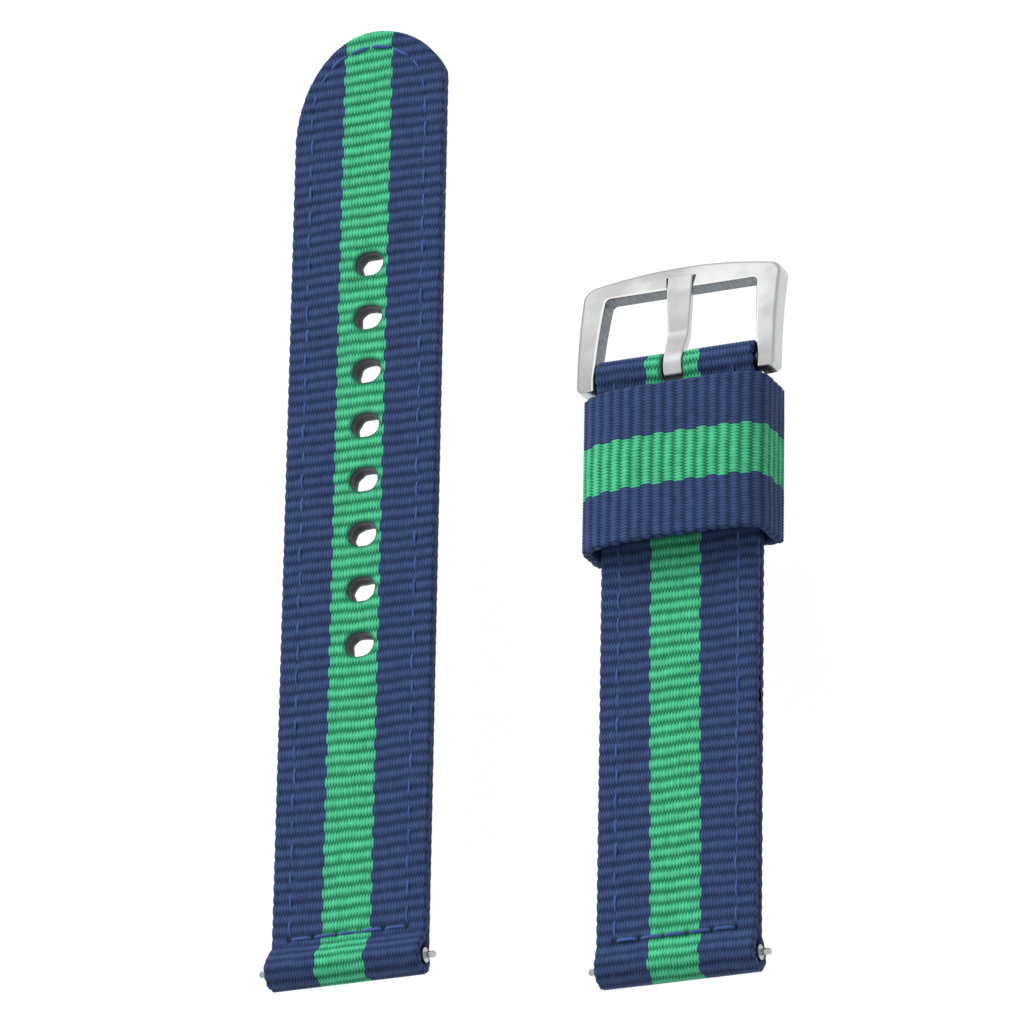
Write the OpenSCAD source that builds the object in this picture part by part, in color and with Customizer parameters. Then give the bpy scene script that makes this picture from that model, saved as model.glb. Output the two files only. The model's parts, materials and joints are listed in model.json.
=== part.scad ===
// Two-piece nylon watch strap with a tongue buckle, a webbing keeper and three spring bars.
// Millimetres. X runs across the straps, Y runs along them, Z is up from the table.
// The origin is the middle of the whole layout, on the table.

/* [Webbing] */
// Width between the lugs of the watch that the strap fits
lug_w = 20; // [18:0.5:24]
// Side gap between each edge of the webbing and the lug beside it
lug_clear = 0.1; // [0.05:0.05:0.3]
// Thickness of one layer of webbing
ply_t = 1.22; // [1.1:0.01:1.3]
// Gap between the two layers of a folded strap
ply_gap = 0.06; // [0.02:0.01:0.1]
// Gap between a spring bar and the loop of webbing round it
loop_clear = 0.15; // [0.05:0.05:0.25]

/* [Long piece] */
// Length of the long piece, from the fold at the lug to the round tip
long_len = 122; // [110:1:135]
// Radius of the round tip
tip_r = 10.4; // [9.9:0.1:13]
// Length over which the long piece opens from flat to its spring bar loop
long_ramp = 3.4; // [3.2:0.1:4.5]
// Number of holes for the tongue
hole_count = 8; // [5:1:9]
// Distance between the centres of neighbouring holes
hole_pitch = 7; // [6:0.5:8]
// Distance from the tip to the centre of the first hole
first_hole = 31; // [26:1:36]
// Size of a hole across the strap
hole_w = 3.6; // [3.2:0.1:4]
// Size of a hole along the strap
hole_l = 3; // [2.4:0.1:3.1]
// How far the row of holes sits to the right of the middle, and the tongue to the left
hole_shift = 0.5; // [0:0.1:0.8]

/* [Short piece] */
// Length of the short piece, from the fold at the lug to the fold at the buckle
short_len = 77; // [70:1:90]
// Length over which the short piece opens to its loop at the lug
short_ramp = 2.5; // [2.4:0.1:3.6]
// Length over which the short piece opens to its loop at the buckle
buckle_ramp = 3; // [2.6:0.1:3.2]
// Length over which the short piece rises to the buckle
rise_len = 11; // [9:0.5:13]
// Width of the slot in the fold that the tongue passes through
slot_w = 3; // [2.8:0.1:3.6]
// How far the slot reaches back from the axis of the buckle bar
slot_back = 1.9; // [1.8:0.1:2.6]
// Gap between the cut ends of the webbing where they meet on the underside
butt_gap = 0.4; // [0.2:0.1:1]
// Distance from the fold at the lug to that gap
butt_y = 34; // [20:1:44]

/* [Stitching] */
// Thickness of the sewing thread
thread_d = 0.48; // [0.4:0.02:0.54]
// Target distance from one stitch to the next
stitch_pitch = 3.1; // [2.6:0.1:3.8]
// Gap between the ends of neighbouring stitches, where the needle went through
stitch_gap = 0.5; // [0.3:0.1:0.8]
// Distance from the edge of the webbing to the stitch line
edge_inset = 2.4; // [2:0.1:3]
// Distance from the tip of the long piece to the stitches round it
tip_inset = 2.2; // [1.8:0.1:3]
// Gap between a spring bar loop and the row of stitches across the strap
cross_gap = 0.02; // [0.02:0.02:1]
// Depth of the groove that the upper stitches lie in
top_groove = 0.12; // [0.06:0.02:0.2]
// Play between a stitch and the sides and floor of its groove
groove_play = 0.02; // [0.01:0.01:0.03]

/* [Keeper] */
// Length of the keeper along the strap, which is the width of its webbing
keeper_len = 19.4; // [16:0.1:20]
// Gap between the keeper and each edge of the strap in it
keeper_side = 0.8; // [0.8:0.1:1.5]
// Overall height of the keeper above the table
keeper_h = 8; // [8:0.1:9.5]
// Height at which the keeper is widest
keeper_waist = 3.6; // [3.5:0.1:3.8]
// Gap between the lower layer of the keeper and the strap
keeper_clear = 0.15; // [0.12:0.01:0.25]
// Distance from the axis of the buckle bar to the near edge of the keeper
keeper_back = 2.7; // [2.7:0.1:4]
// Gap between the two ends of the keeper where they are sewn together
seam_gap = 0.2; // [0.1:0.05:0.4]
// Length of one thread of the zigzag that joins the keeper ends
seam_stitch = 3.2; // [2.4:0.1:4]
// Number of threads in the zigzag
seam_count = 12; // [8:1:13]

/* [Spring bars] */
// Outer diameter of the tube of a spring bar
bar_d = 1.8; // [1.6:0.05:1.9]
// Wall of the tube
bar_wall = 0.28; // [0.25:0.01:0.3]
// Length of the rolled-in collar that keeps each plunger in the tube
collar_len = 0.6; // [0.5:0.1:0.8]
// Thickness of the flange on a plunger
flange_t = 0.5; // [0.4:0.05:0.6]
// Diameter of the pin at the end of a plunger
pin_d = 0.8; // [0.7:0.05:0.9]
// Length of that pin, which is also how far a plunger can be pressed in
pin_len = 1.2; // [1:0.1:1.3]
// Length of the head of a plunger, inside the tube
head_len = 3; // [2:0.5:3.5]
// Radial running gap of a piece that turns or slides on another
run_clear = 0.05; // [0.03:0.01:0.06]
// Thickness of the spring wire
wire_d = 0.22; // [0.18:0.02:0.24]
// Number of turns of a spring
spring_turns = 9; // [7:1:10]

/* [Buckle frame] */
// Thickness of the frame
frame_t = 2.7; // [2.4:0.1:2.7]
// Gap between each edge of the webbing and the arm beside it
arm_gap = 0.4; // [0.3:0.1:0.6]
// Width of an arm at the spring bar
arm_w = 2.3; // [2.2:0.1:2.8]
// Extra width of an arm where it meets the cross bar
arm_flare = 0.7; // [0:0.1:1.2]
// Distance from the axis of the buckle bar to the inner edge of the cross bar
window_len = 10.6; // [10:0.1:11]
// Width of the cross bar at its middle
cross_w = 3.3; // [3:0.1:4]
// How much further the cross bar bulges at its middle than at its ends
cross_bulge = 1.6; // [0.8:0.1:2]
// How far each arm reaches past the axis of the buckle bar
arm_tail = 1.7; // [1.4:0.1:1.8]
// Radius of the outer corners
outer_corner = 3.2; // [1.2:0.1:4]
// Radius of the corners of the window
window_corner = 0.6; // [0.4:0.1:1.4]
// Radius of the ends of the arms
tail_corner = 0.8; // [0.3:0.1:1]
// Radius of the side view of the frame, which is a slight arch
arch_r = 44; // [40:1:60]
// Angle at which the frame leaves the buckle bar, down towards the cross bar
frame_droop = 2; // [1:0.1:2]
// Depth of the holes in the arms for the pins of the buckle bar
arm_hole = 1.5; // [1.4:0.05:1.6]

/* [Tongue] */
// Thickness of the tongue
tongue_t = 1; // [0.8:0.1:1.1]
// Width of the tongue at the buckle bar
tongue_root_w = 2.2; // [1.8:0.1:2.4]
// Width of the tongue at its tip
tongue_tip_w = 3.1; // [2.4:0.1:3.4]
// Distance from the axis of the buckle bar to the tip
tongue_len = 12.2; // [11.8:0.1:12.6]
// Wall of the barrel that turns on the buckle bar
barrel_wall = 0.7; // [0.6:0.05:0.75]
// Length over which the tongue drops from the buckle bar
tongue_drop_len = 5.5; // [4.5:0.5:6.5]
// Depth of the notch in the cross bar that the tip lies in
notch_d = 0.6; // [0.4:0.05:0.8]
// Gap between the tip and the sides and floor of its notch
notch_clear = 0.06; // [0.03:0.01:0.1]

/* [Layout] */
// Distance between the middles of the two pieces
spacing = 41.8; // [36:0.1:60]
// How far the lug end of the short piece lies below that of the long piece
stagger = 4.6; // [0:0.1:10]

/* [Hidden] */
$fn = 48;
// Small overshoot of a cut past the face that it cuts
eps = 0.02;
// Number of straight steps in each curved stretch of webbing
curve_steps = 10;

// Webbing
strap_w = lug_w - 2 * lug_clear;
half_w = strap_w / 2;
strap_t = 2 * ply_t + ply_gap;
bar_r = bar_d / 2;
bore_r = bar_r + loop_clear;
loop_r = bore_r + ply_t;
loop_mid_r = bore_r + ply_t / 2;
ply_offset = (ply_t + ply_gap) / 2;
lug_bar_y = loop_r;
lug_bar_z = loop_r;

// Middle plane between the two layers of each piece
long_mid_z = strap_t / 2;
short_mid_z = ply_t + keeper_clear + strap_t / 2;

// Axis of the buckle bar, at the height that lets the cross bar of the frame touch the table
buckle_y = short_len - loop_r;
frame_len = window_len + cross_w;
arch_y = -arch_r * sin(frame_droop);
arch_z = -arch_r * cos(frame_droop);
buckle_z = -arch_z - sqrt(pow(arch_r - frame_t / 2, 2) - pow(frame_len - arch_y, 2)) + eps;

// Where the short piece starts and ends its rise, and where its buckle loop opens
open_y = buckle_y - buckle_ramp;
buckle_cross_y = open_y - stitch_pitch / 2;
rise_end = buckle_cross_y - stitch_pitch / 2;
rise_start = rise_end - rise_len;

// Centre line of an upper or lower layer as knots [y, z], side = 1 above and -1 below
function long_knots(side) = [
  [lug_bar_y, lug_bar_z + side * loop_mid_r],
  [lug_bar_y + long_ramp, long_mid_z + side * ply_offset],
  [long_len, long_mid_z + side * ply_offset]
];
function short_knots(side) = [
  [lug_bar_y, lug_bar_z + side * loop_mid_r],
  [lug_bar_y + short_ramp, short_mid_z + side * ply_offset],
  [rise_start, short_mid_z + side * ply_offset],
  [rise_end, buckle_z + side * ply_offset],
  [open_y, buckle_z + side * ply_offset],
  [buckle_y, buckle_z + side * loop_mid_r]
];

// Smooth step from one knot to the next, and the height of a layer at any y
function smooth(t) = t * t * (3 - 2 * t);
function span_z(a, b, y) = a[1] + (b[1] - a[1]) * smooth((y - a[0]) / (b[0] - a[0]));
function layer_z(knots, y, i = 0) =
  i >= len(knots) - 2 || y <= knots[i + 1][0]
    ? span_z(knots[i], knots[i + 1], min(y, knots[len(knots) - 1][0]))
    : layer_z(knots, y, i + 1);
function slope(knots, y) =
  (layer_z(knots, y + eps) - layer_z(knots, y - eps)) / (2 * eps);
function steps(a, b) = abs(a[1] - b[1]) < eps ? 1 : curve_steps;
function layer_ys(knots) = concat(
  [for (i = [0 : len(knots) - 2])
    for (s = [0 : steps(knots[i], knots[i + 1]) - 1])
      knots[i][0] + (knots[i + 1][0] - knots[i][0]) * s / steps(knots[i], knots[i + 1])],
  [knots[len(knots) - 1][0]]
);
// A line parallel to a layer's centre line, d above it
function parallel(knots, d) = [
  for (y = layer_ys(knots))
    let (inside = y > knots[0][0] && y < knots[len(knots) - 1][0])
    let (a = inside ? atan(slope(knots, y)) : 0)
    [y - d * sin(a), layer_z(knots, y) + d * cos(a)]
];
function reversed(list) = [for (i = [len(list) - 1 : -1 : 0]) list[i]];

// Stitching
thread_r = thread_d / 2;
bobbin_groove = thread_r + 2 * groove_play;
groove_w = 2 * (thread_r + groove_play) + 0.2;
seam_x = half_w - edge_inset;
long_seam_end = long_len - tip_inset - seam_x;
long_cross_y = lug_bar_y + long_ramp + groove_w / 2 + cross_gap;
short_cross_y = lug_bar_y + short_ramp + groove_w / 2 + cross_gap;

// Keeper
keeper_top_y = buckle_y - keeper_back;
keeper_in = half_w + keeper_side;
keeper_out = keeper_in + ply_t;
keeper_top_power = 3.2;
keeper_foot_power = 16;
keeper_arc_steps = 12;
keeper_seam_turn = 30;

// Spring bars
tube_bore_r = bar_r - bar_wall;
head_r = tube_bore_r - run_clear;
neck_r = head_r - 0.15;
collar_r = neck_r + run_clear;
pin_r = pin_d / 2;
pin_round = pin_r / 3;
stop_gap = pin_len + 0.1;
lug_bar_half = lug_w / 2;
buckle_bar_half = half_w + arm_gap - run_clear;
coil_r = head_r - wire_d / 2 - run_clear;
wire_sides = 5;
turn_steps = 8;

// Buckle frame, in its own plan with the buckle bar's axis at y = 0
arm_in = half_w + arm_gap;
arm_out = arm_in + arm_w;
bulge_r = (arm_out * arm_out + cross_bulge * cross_bulge) / (2 * cross_bulge);
bulge_y = frame_len - bulge_r;
// Centre of an outer corner, tangent to the arm and to the bulging edge
corner_x = arm_out - outer_corner;
corner_y = bulge_y + sqrt(pow(bulge_r - outer_corner, 2) - corner_x * corner_x);
bulge_turn = atan2(corner_y - bulge_y, corner_x);
frame_cut_h = 20;

// Height of the middle of the frame's thickness at a distance y from the buckle bar
function arch_mid(y) = arch_z + sqrt(arch_r * arch_r - pow(y - arch_y, 2));
function arch_top(y) = arch_z + sqrt(pow(arch_r + frame_t / 2, 2) - pow(y - arch_y, 2));

// Tongue, in the same plan
barrel_in = bar_r + run_clear;
barrel_out = barrel_in + barrel_wall;
tongue_start_z = barrel_out - tongue_t / 2;
notch_floor = arch_top(window_len + cross_w / 2) - notch_d;
tip_z = notch_floor + notch_clear + tongue_t / 2;
notch_end = tongue_len + notch_clear;
tongue_knots = [
  [0, tongue_start_z],
  [tongue_drop_len, tip_z + 0.25],
  [window_len - 0.6, tip_z],
  [tongue_len, tip_z]
];

// Layout of the two pieces about the origin
pin_reach = lug_bar_half + pin_len;
right_reach = max(arm_out, keeper_out, pin_reach);
long_x = -(spacing + right_reach - pin_reach) / 2;
short_x = long_x + spacing;
short_y = -(long_len + stagger) / 2;
long_y = short_y + stagger;

// Turns a side view, drawn with y across and z up, into a solid w wide about x = 0
module across(w) {
  rotate([90, 0, 90])
    translate([0, 0, -w / 2])
      linear_extrude(w)
        children();
}

module along_x() {
  rotate([0, 90, 0])
    children();
}

// Side view of one layer of webbing
module layer_profile(knots) {
  polygon(concat(parallel(knots, ply_t / 2), reversed(parallel(knots, -ply_t / 2))));
}

// Side view of the loop round a bar, turned towards -y for side = -1 and +y for side = 1
module loop_profile(y, z, side) {
  translate([y, z])
    intersection() {
      difference() {
        circle(loop_r);
        circle(bore_r);
      }
      translate([side * loop_r, 0])
        square(2 * loop_r, center = true);
    }
}

// A groove d deep along the outer face of a layer, from y0 to y1
module groove(knots, side, d, x, y0, y1) {
  floor_line = [for (p = parallel(knots, side * (ply_t / 2 - d))) p];
  sky_line = [for (p = floor_line) [p[0], p[1] + side * ply_t]];
  intersection() {
    translate([x, 0, 0])
      across(groove_w)
        polygon(concat(floor_line, reversed(sky_line)));
    translate([x - ply_t, y0 - groove_w / 2, -frame_cut_h])
      cube([2 * ply_t, y1 - y0 + groove_w, 2 * frame_cut_h]);
  }
}

// A straight groove across a flat stretch of a layer at y
module cross_groove(knots, side, d, y) {
  floor_z = layer_z(knots, y) + side * (ply_t / 2 - d);
  translate([0, y, floor_z + side * ply_t / 2])
    cube([2 * seam_x + groove_w, groove_w, ply_t], center = true);
}

// One stitch l long along y: a half-round thread with tapered ends, flat side down at z = 0
module stitch(l) {
  taper = thread_r;
  rotate([90, 0, 0])
    rotate_extrude(angle = 180)
      polygon([
        [0, -l / 2], [thread_r / 2, -l / 2], [thread_r, -l / 2 + taper],
        [thread_r, l / 2 - taper], [thread_r / 2, l / 2], [0, l / 2]
      ]);
}

// Height of a groove's floor at y, lifted where the face curves up under a straight stitch
function floor_z(knots, side, d, y) =
  layer_z(knots, y) + side * (ply_t / 2 - d + groove_play) / cos(atan(slope(knots, y)));
function curve_lift(knots, side, y, e) =
  max(0, side * (layer_z(knots, y + e) + layer_z(knots, y - e) - 2 * layer_z(knots, y)) / 2);

// A row of stitches along y on the outer face of a layer
module stitch_row(knots, side, d, x, y0, y1) {
  count = max(1, round((y1 - y0) / stitch_pitch));
  pitch = (y1 - y0) / count;
  l = pitch - stitch_gap;
  for (i = [0 : count - 1])
    let (y = y0 + (i + 0.5) * pitch)
    translate([x, y, floor_z(knots, side, d, y) + side * curve_lift(knots, side, y, l / 2)])
      rotate([side * atan(slope(knots, y)), side > 0 ? 0 : 180, 0])
        stitch(l);
}

// A row of stitches across the strap at y
module stitch_cross(knots, side, d, y) {
  count = max(1, round(2 * seam_x / stitch_pitch));
  pitch = 2 * seam_x / count;
  for (i = [0 : count - 1])
    translate([-seam_x + (i + 0.5) * pitch, y, floor_z(knots, side, d, y)])
      rotate([side > 0 ? 0 : 180, 0, 90])
        stitch(pitch - stitch_gap);
}

// The stitches that follow the round tip of the long piece
module stitch_arc(knots, side, d) {
  count = round(180 * seam_x * PI / 180 / stitch_pitch);
  turn = 180 / count;
  l = seam_x * PI / count - stitch_gap;
  translate([0, long_seam_end, floor_z(knots, side, d, long_seam_end)])
    for (i = [0 : count - 1])
      rotate([0, 0, (i + 0.5) * turn])
        translate([seam_x, 0, 0])
          rotate([0, side > 0 ? 0 : 180, 0])
            stitch(l);
}

module long_threads(side, d) {
  knots = long_knots(side);
  stitch_row(knots, side, d, -seam_x, long_cross_y, long_seam_end);
  stitch_row(knots, side, d, seam_x, long_cross_y, long_seam_end);
  stitch_cross(knots, side, d, long_cross_y);
  stitch_arc(knots, side, d);
}

// Area inside the closed stitch line of the long piece, grown by g
module long_seam_area(g) {
  translate([-seam_x - g, long_cross_y - g])
    square([2 * (seam_x + g), long_seam_end - long_cross_y + g]);
  translate([0, long_seam_end])
    circle(seam_x + g);
}

// One closed groove that the stitches of the long piece lie in
module long_groove(side, d) {
  floor_z = layer_z(long_knots(side), long_len) + side * (ply_t / 2 - d);
  translate([0, 0, floor_z + (side > 0 ? 0 : -ply_t)])
    difference() {
      linear_extrude(ply_t)
        long_seam_area(groove_w / 2);
      translate([0, 0, -eps])
        linear_extrude(ply_t + 2 * eps)
          long_seam_area(-groove_w / 2);
    }
}

module short_threads(side, d) {
  knots = short_knots(side);
  stitch_row(knots, side, d, -seam_x, short_cross_y, buckle_cross_y);
  stitch_row(knots, side, d, seam_x, short_cross_y, buckle_cross_y);
  stitch_cross(knots, side, d, short_cross_y);
  stitch_cross(knots, side, d, buckle_cross_y);
}

module short_grooves(side, d) {
  knots = short_knots(side);
  groove(knots, side, d, -seam_x, short_cross_y, buckle_cross_y);
  groove(knots, side, d, seam_x, short_cross_y, buckle_cross_y);
  cross_groove(knots, side, d, short_cross_y);
  cross_groove(knots, side, d, buckle_cross_y);
}

// Places a piece in the frame of the long or the short piece
module at_long() {
  translate([long_x, long_y, 0])
    children();
}

module at_short() {
  translate([short_x, short_y, 0])
    children();
}

module at_buckle(x = 0) {
  at_short()
    translate([x, buckle_y, buckle_z])
      children();
}

// Oval hole for the tongue, as a slot with true round ends
module oval_hole() {
  half_gap = (hole_w - hole_l) / 2;
  for (s = [-1, 1])
    translate([s * half_gap, 0, -eps])
      cylinder(h = strap_t + 2 * eps, d = hole_l);
  translate([-half_gap, -hole_l / 2, -eps])
    cube([2 * half_gap, hole_l, strap_t + 2 * eps]);
}

module long_plan() {
  translate([-tip_r, -eps])
    square([2 * tip_r, long_len - tip_r + eps]);
  translate([0, long_len - tip_r])
    circle(tip_r);
}

module long_webbing() {
  color("midnightblue")
    at_long()
      difference() {
        intersection() {
          union() {
            across(strap_w)
              loop_profile(lug_bar_y, lug_bar_z, -1);
            across(strap_w)
              layer_profile(long_knots(1));
            across(strap_w)
              layer_profile(long_knots(-1));
          }
          translate([0, 0, -eps])
            linear_extrude(2 * loop_r + 2 * eps)
              long_plan();
        }
        for (i = [0 : hole_count - 1])
          translate([hole_shift, long_len - first_hole - i * hole_pitch, 0])
            oval_hole();
        long_groove(1, top_groove);
        long_groove(-1, bobbin_groove);
      }
}

module long_top_thread() {
  color("royalblue")
    at_long()
      long_threads(1, top_groove);
}

module long_bobbin_thread() {
  color("royalblue")
    at_long()
      long_threads(-1, bobbin_groove);
}

module short_webbing() {
  color("midnightblue")
    at_short()
      difference() {
        union() {
          across(strap_w)
            loop_profile(lug_bar_y, lug_bar_z, -1);
          across(strap_w)
            loop_profile(buckle_y, buckle_z, 1);
          across(strap_w)
            layer_profile(short_knots(1));
          across(strap_w)
            layer_profile(short_knots(-1));
        }
        translate([-hole_shift - slot_w / 2, buckle_y - slot_back, buckle_z - loop_r - eps])
          cube([slot_w, slot_back + loop_r + eps, 2 * (loop_r + eps)]);
        translate([-half_w - eps, butt_y, short_mid_z - strap_t / 2 - eps])
          cube([strap_w + 2 * eps, butt_gap, ply_t + ply_gap / 2 + eps]);
        short_grooves(1, top_groove);
        short_grooves(-1, bobbin_groove);
      }
}

module short_top_thread() {
  color("royalblue")
    at_short()
      short_threads(1, top_groove);
}

module short_bobbin_thread() {
  color("royalblue")
    at_short()
      short_threads(-1, bobbin_groove);
}

// One side of the keeper's cross section: a flat foot, full sides and a bowed top
function keeper_ring(a, top, foot) = [
  for (i = [0 : 4 * keeper_arc_steps - 1])
    let (t = i * 90 / keeper_arc_steps)
    let (c = cos(t))
    let (s = sin(t))
    let (p = 2 / (s >= 0 ? keeper_top_power : keeper_foot_power))
    [a * sign(c) * pow(abs(c), p), keeper_waist + (s >= 0 ? top : foot) * sign(s) * pow(abs(s), p)]
];

module keeper_profile() {
  difference() {
    polygon(keeper_ring(keeper_out, keeper_h - keeper_waist, keeper_waist));
    polygon(keeper_ring(keeper_in, keeper_h - keeper_waist - ply_t, keeper_waist - ply_t));
  }
}

module at_keeper() {
  at_short()
    translate([0, keeper_top_y - keeper_len, 0])
      children();
}

module keeper_webbing() {
  color("midnightblue")
    at_keeper()
      difference() {
        translate([0, keeper_len, 0])
          rotate([90, 0, 0])
            linear_extrude(keeper_len)
              keeper_profile();
        translate([-seam_gap / 2, -eps, -eps])
          cube([seam_gap, keeper_len + 2 * eps, ply_t + 2 * eps]);
        translate([-seam_stitch / 2 - eps, groove_w, -eps])
          cube([seam_stitch + 2 * eps, keeper_len - 2 * groove_w, bobbin_groove + eps]);
      }
}

// Zigzag of threads that joins the two ends of the keeper on the underside
module keeper_seam_thread() {
  pitch = (keeper_len - 4 * groove_w) / seam_count;
  reach = seam_stitch / cos(keeper_seam_turn) - 2 * thread_r;
  color("royalblue")
    at_keeper()
      for (i = [0 : seam_count - 1])
        translate([0, 2 * groove_w + (i + 0.5) * pitch, bobbin_groove - groove_play])
          rotate([180, 0, 90 + (i % 2 == 0 ? 1 : -1) * keeper_seam_turn / 2])
            stitch(min(reach, seam_stitch));
}

// Tube of a spring bar, with a rolled-in collar at each end
module bar_tube(half) {
  tube_half = half - flange_t - stop_gap;
  color("silver")
    along_x()
      rotate_extrude()
        polygon([
          [collar_r, -tube_half], [bar_r, -tube_half], [bar_r, tube_half], [collar_r, tube_half],
          [collar_r, tube_half - collar_len], [tube_bore_r, tube_half - collar_len],
          [tube_bore_r, collar_len - tube_half], [collar_r, collar_len - tube_half]
        ]);
}

// Right-hand plunger of a spring bar: head, neck, flange and rounded pin
module bar_tip(half) {
  head_end = half - flange_t - stop_gap - collar_len;
  color("gainsboro")
    along_x()
      rotate_extrude()
        polygon([
          [0, head_end - head_len], [head_r, head_end - head_len], [head_r, head_end],
          [neck_r, head_end], [neck_r, half - flange_t], [bar_r, half - flange_t],
          [bar_r, half], [pin_r, half], [pin_r, half + pin_len - pin_round],
          [pin_r - pin_round, half + pin_len], [0, half + pin_len]
        ]);
}

// Coil spring of a spring bar as one swept wire
module bar_spring(half) {
  free_half = half - flange_t - stop_gap - collar_len - head_len - wire_d / 2;
  rings = spring_turns * turn_steps;
  turn = 360 / turn_steps;
  points = [
    for (i = [0 : rings])
      let (a = i * turn)
      let (x = -free_half + 2 * free_half * i / rings)
      for (k = [0 : wire_sides - 1])
        let (b = k * 360 / wire_sides)
        let (r = coil_r + wire_d / 2 * cos(b))
        [x + wire_d / 2 * sin(b), r * cos(a), r * sin(a)]
  ];
  sides = [
    for (i = [0 : rings - 1])
      for (k = [0 : wire_sides - 1])
        let (n = (k + 1) % wire_sides)
        let (p = i * wire_sides)
        each [
          [p + k, p + n, p + wire_sides + k],
          [p + n, p + wire_sides + n, p + wire_sides + k]
        ]
  ];
  caps = [
    for (k = [1 : wire_sides - 2])
      each [[0, k + 1, k], [rings * wire_sides, rings * wire_sides + k, rings * wire_sides + k + 1]]
  ];
  color("dimgray")
    polyhedron(points = points, faces = concat(sides, caps));
}

module at_long_bar() {
  at_long()
    translate([0, lug_bar_y, lug_bar_z])
      children();
}

module at_short_bar() {
  at_short()
    translate([0, lug_bar_y, lug_bar_z])
      children();
}

module long_bar_tube() {
  color("silver")
    at_long_bar()
      bar_tube(lug_bar_half);
}

module long_bar_spring() {
  color("dimgray")
    at_long_bar()
      bar_spring(lug_bar_half);
}

module long_bar_left_tip() {
  color("gainsboro")
    at_long_bar()
      mirror([1, 0, 0])
        bar_tip(lug_bar_half);
}

module long_bar_right_tip() {
  color("gainsboro")
    at_long_bar()
      bar_tip(lug_bar_half);
}

module short_bar_tube() {
  color("silver")
    at_short_bar()
      bar_tube(lug_bar_half);
}

module short_bar_spring() {
  color("dimgray")
    at_short_bar()
      bar_spring(lug_bar_half);
}

module short_bar_left_tip() {
  color("gainsboro")
    at_short_bar()
      mirror([1, 0, 0])
        bar_tip(lug_bar_half);
}

module short_bar_right_tip() {
  color("gainsboro")
    at_short_bar()
      bar_tip(lug_bar_half);
}

module buckle_bar_tube() {
  color("silver")
    at_buckle()
      bar_tube(buckle_bar_half);
}

module buckle_bar_spring() {
  color("dimgray")
    at_buckle()
      bar_spring(buckle_bar_half);
}

module buckle_bar_left_tip() {
  color("gainsboro")
    at_buckle()
      mirror([1, 0, 0])
        bar_tip(buckle_bar_half);
}

module buckle_bar_right_tip() {
  color("gainsboro")
    at_buckle()
      bar_tip(buckle_bar_half);
}

// Points along an arc from angle a to angle b
function arc(x, y, r, a, b, n = 8) = [
  for (i = [0 : n])
    let (t = a + (b - a) * i / n)
    [x + r * cos(t), y + r * sin(t)]
];

// Plan of the frame: round-cornered arms and a cross bar whose outer edge bulges
module frame_plan() {
  tail_x = arm_out - tail_corner;
  tail_y = tail_corner - arm_tail;
  difference() {
    polygon(concat(
      arc(tail_x, tail_y, tail_corner, -90, 0),
      arc(corner_x, corner_y, outer_corner, 0, bulge_turn),
      arc(0, bulge_y, bulge_r, bulge_turn, 180 - bulge_turn, 24),
      arc(-corner_x, corner_y, outer_corner, 180 - bulge_turn, 180),
      arc(-tail_x, tail_y, tail_corner, 180, 270)
    ));
    window_plan();
  }
}

// Plan of the window: its sides draw in towards the cross bar, so the arms widen there
module window_plan() {
  round_x = arm_in - arm_flare - window_corner;
  round_y = window_len - window_corner;
  polygon(concat(
    [[-arm_in, -arm_tail - eps], [arm_in, -arm_tail - eps], [arm_in, 0]],
    arc(round_x, round_y, window_corner, 0, 90),
    arc(-round_x, round_y, window_corner, 90, 180),
    [[-arm_in, 0]]
  ));
}

module buckle_frame() {
  color("silver")
    at_buckle()
      difference() {
        intersection() {
          translate([0, 0, -frame_cut_h / 2])
            linear_extrude(frame_cut_h)
              frame_plan();
          across(2 * arm_out + 2)
            translate([arch_y, arch_z])
              difference() {
                circle(arch_r + frame_t / 2, $fn = 360);
                circle(arch_r - frame_t / 2, $fn = 360);
              }
        }
        for (s = [-1, 1])
          translate([s * (arm_in + arm_hole / 2), 0, 0])
            along_x()
              cylinder(h = arm_hole, r = pin_r + run_clear, center = true);
        translate([-hole_shift - tongue_tip_w / 2 - notch_clear, window_len - cross_w, notch_floor])
          cube([tongue_tip_w + 2 * notch_clear, notch_end - window_len + cross_w, frame_t]);
      }
}

// Side view of the tongue's strip
module strip_profile() {
  half_t = tongue_t / 2;
  polygon(concat(parallel(tongue_knots, half_t), reversed(parallel(tongue_knots, -half_t))));
}

module buckle_tongue() {
  widest = max(tongue_root_w, tongue_tip_w);
  color("silver")
    at_buckle(-hole_shift)
      difference() {
        intersection() {
          union() {
            along_x()
              cylinder(h = widest, r = barrel_out, center = true);
            across(widest)
              strip_profile();
          }
          translate([0, 0, -frame_cut_h / 2])
            linear_extrude(frame_cut_h)
              polygon([
                [-tongue_root_w / 2, -barrel_out - eps], [tongue_root_w / 2, -barrel_out - eps],
                [tongue_root_w / 2, barrel_out], [tongue_tip_w / 2, window_len - 0.6],
                [tongue_tip_w / 2, tongue_len], [-tongue_tip_w / 2, tongue_len],
                [-tongue_tip_w / 2, window_len - 0.6], [-tongue_root_w / 2, barrel_out]
              ]);
        }
        along_x()
          cylinder(h = 2 * widest, r = barrel_in, center = true);
      }
}

long_webbing();
long_top_thread();
long_bobbin_thread();
long_bar_tube();
long_bar_spring();
long_bar_left_tip();
long_bar_right_tip();
short_webbing();
short_top_thread();
short_bobbin_thread();
short_bar_tube();
short_bar_spring();
short_bar_left_tip();
short_bar_right_tip();
keeper_webbing();
keeper_seam_thread();
buckle_frame();
buckle_tongue();
buckle_bar_tube();
buckle_bar_spring();
buckle_bar_left_tip();
buckle_bar_right_tip();
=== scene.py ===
"""Looks of a two-piece nylon watch strap round its CAD frame.

The frame and Blender work in metres: X across the straps, Y along them, Z up from the table. The sizes
here are in millimetres, except under Light and Finish, where they are in metres. Webbing is built from
(u, s): u across it and s along its outer face.
"""
import json
import math

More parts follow.
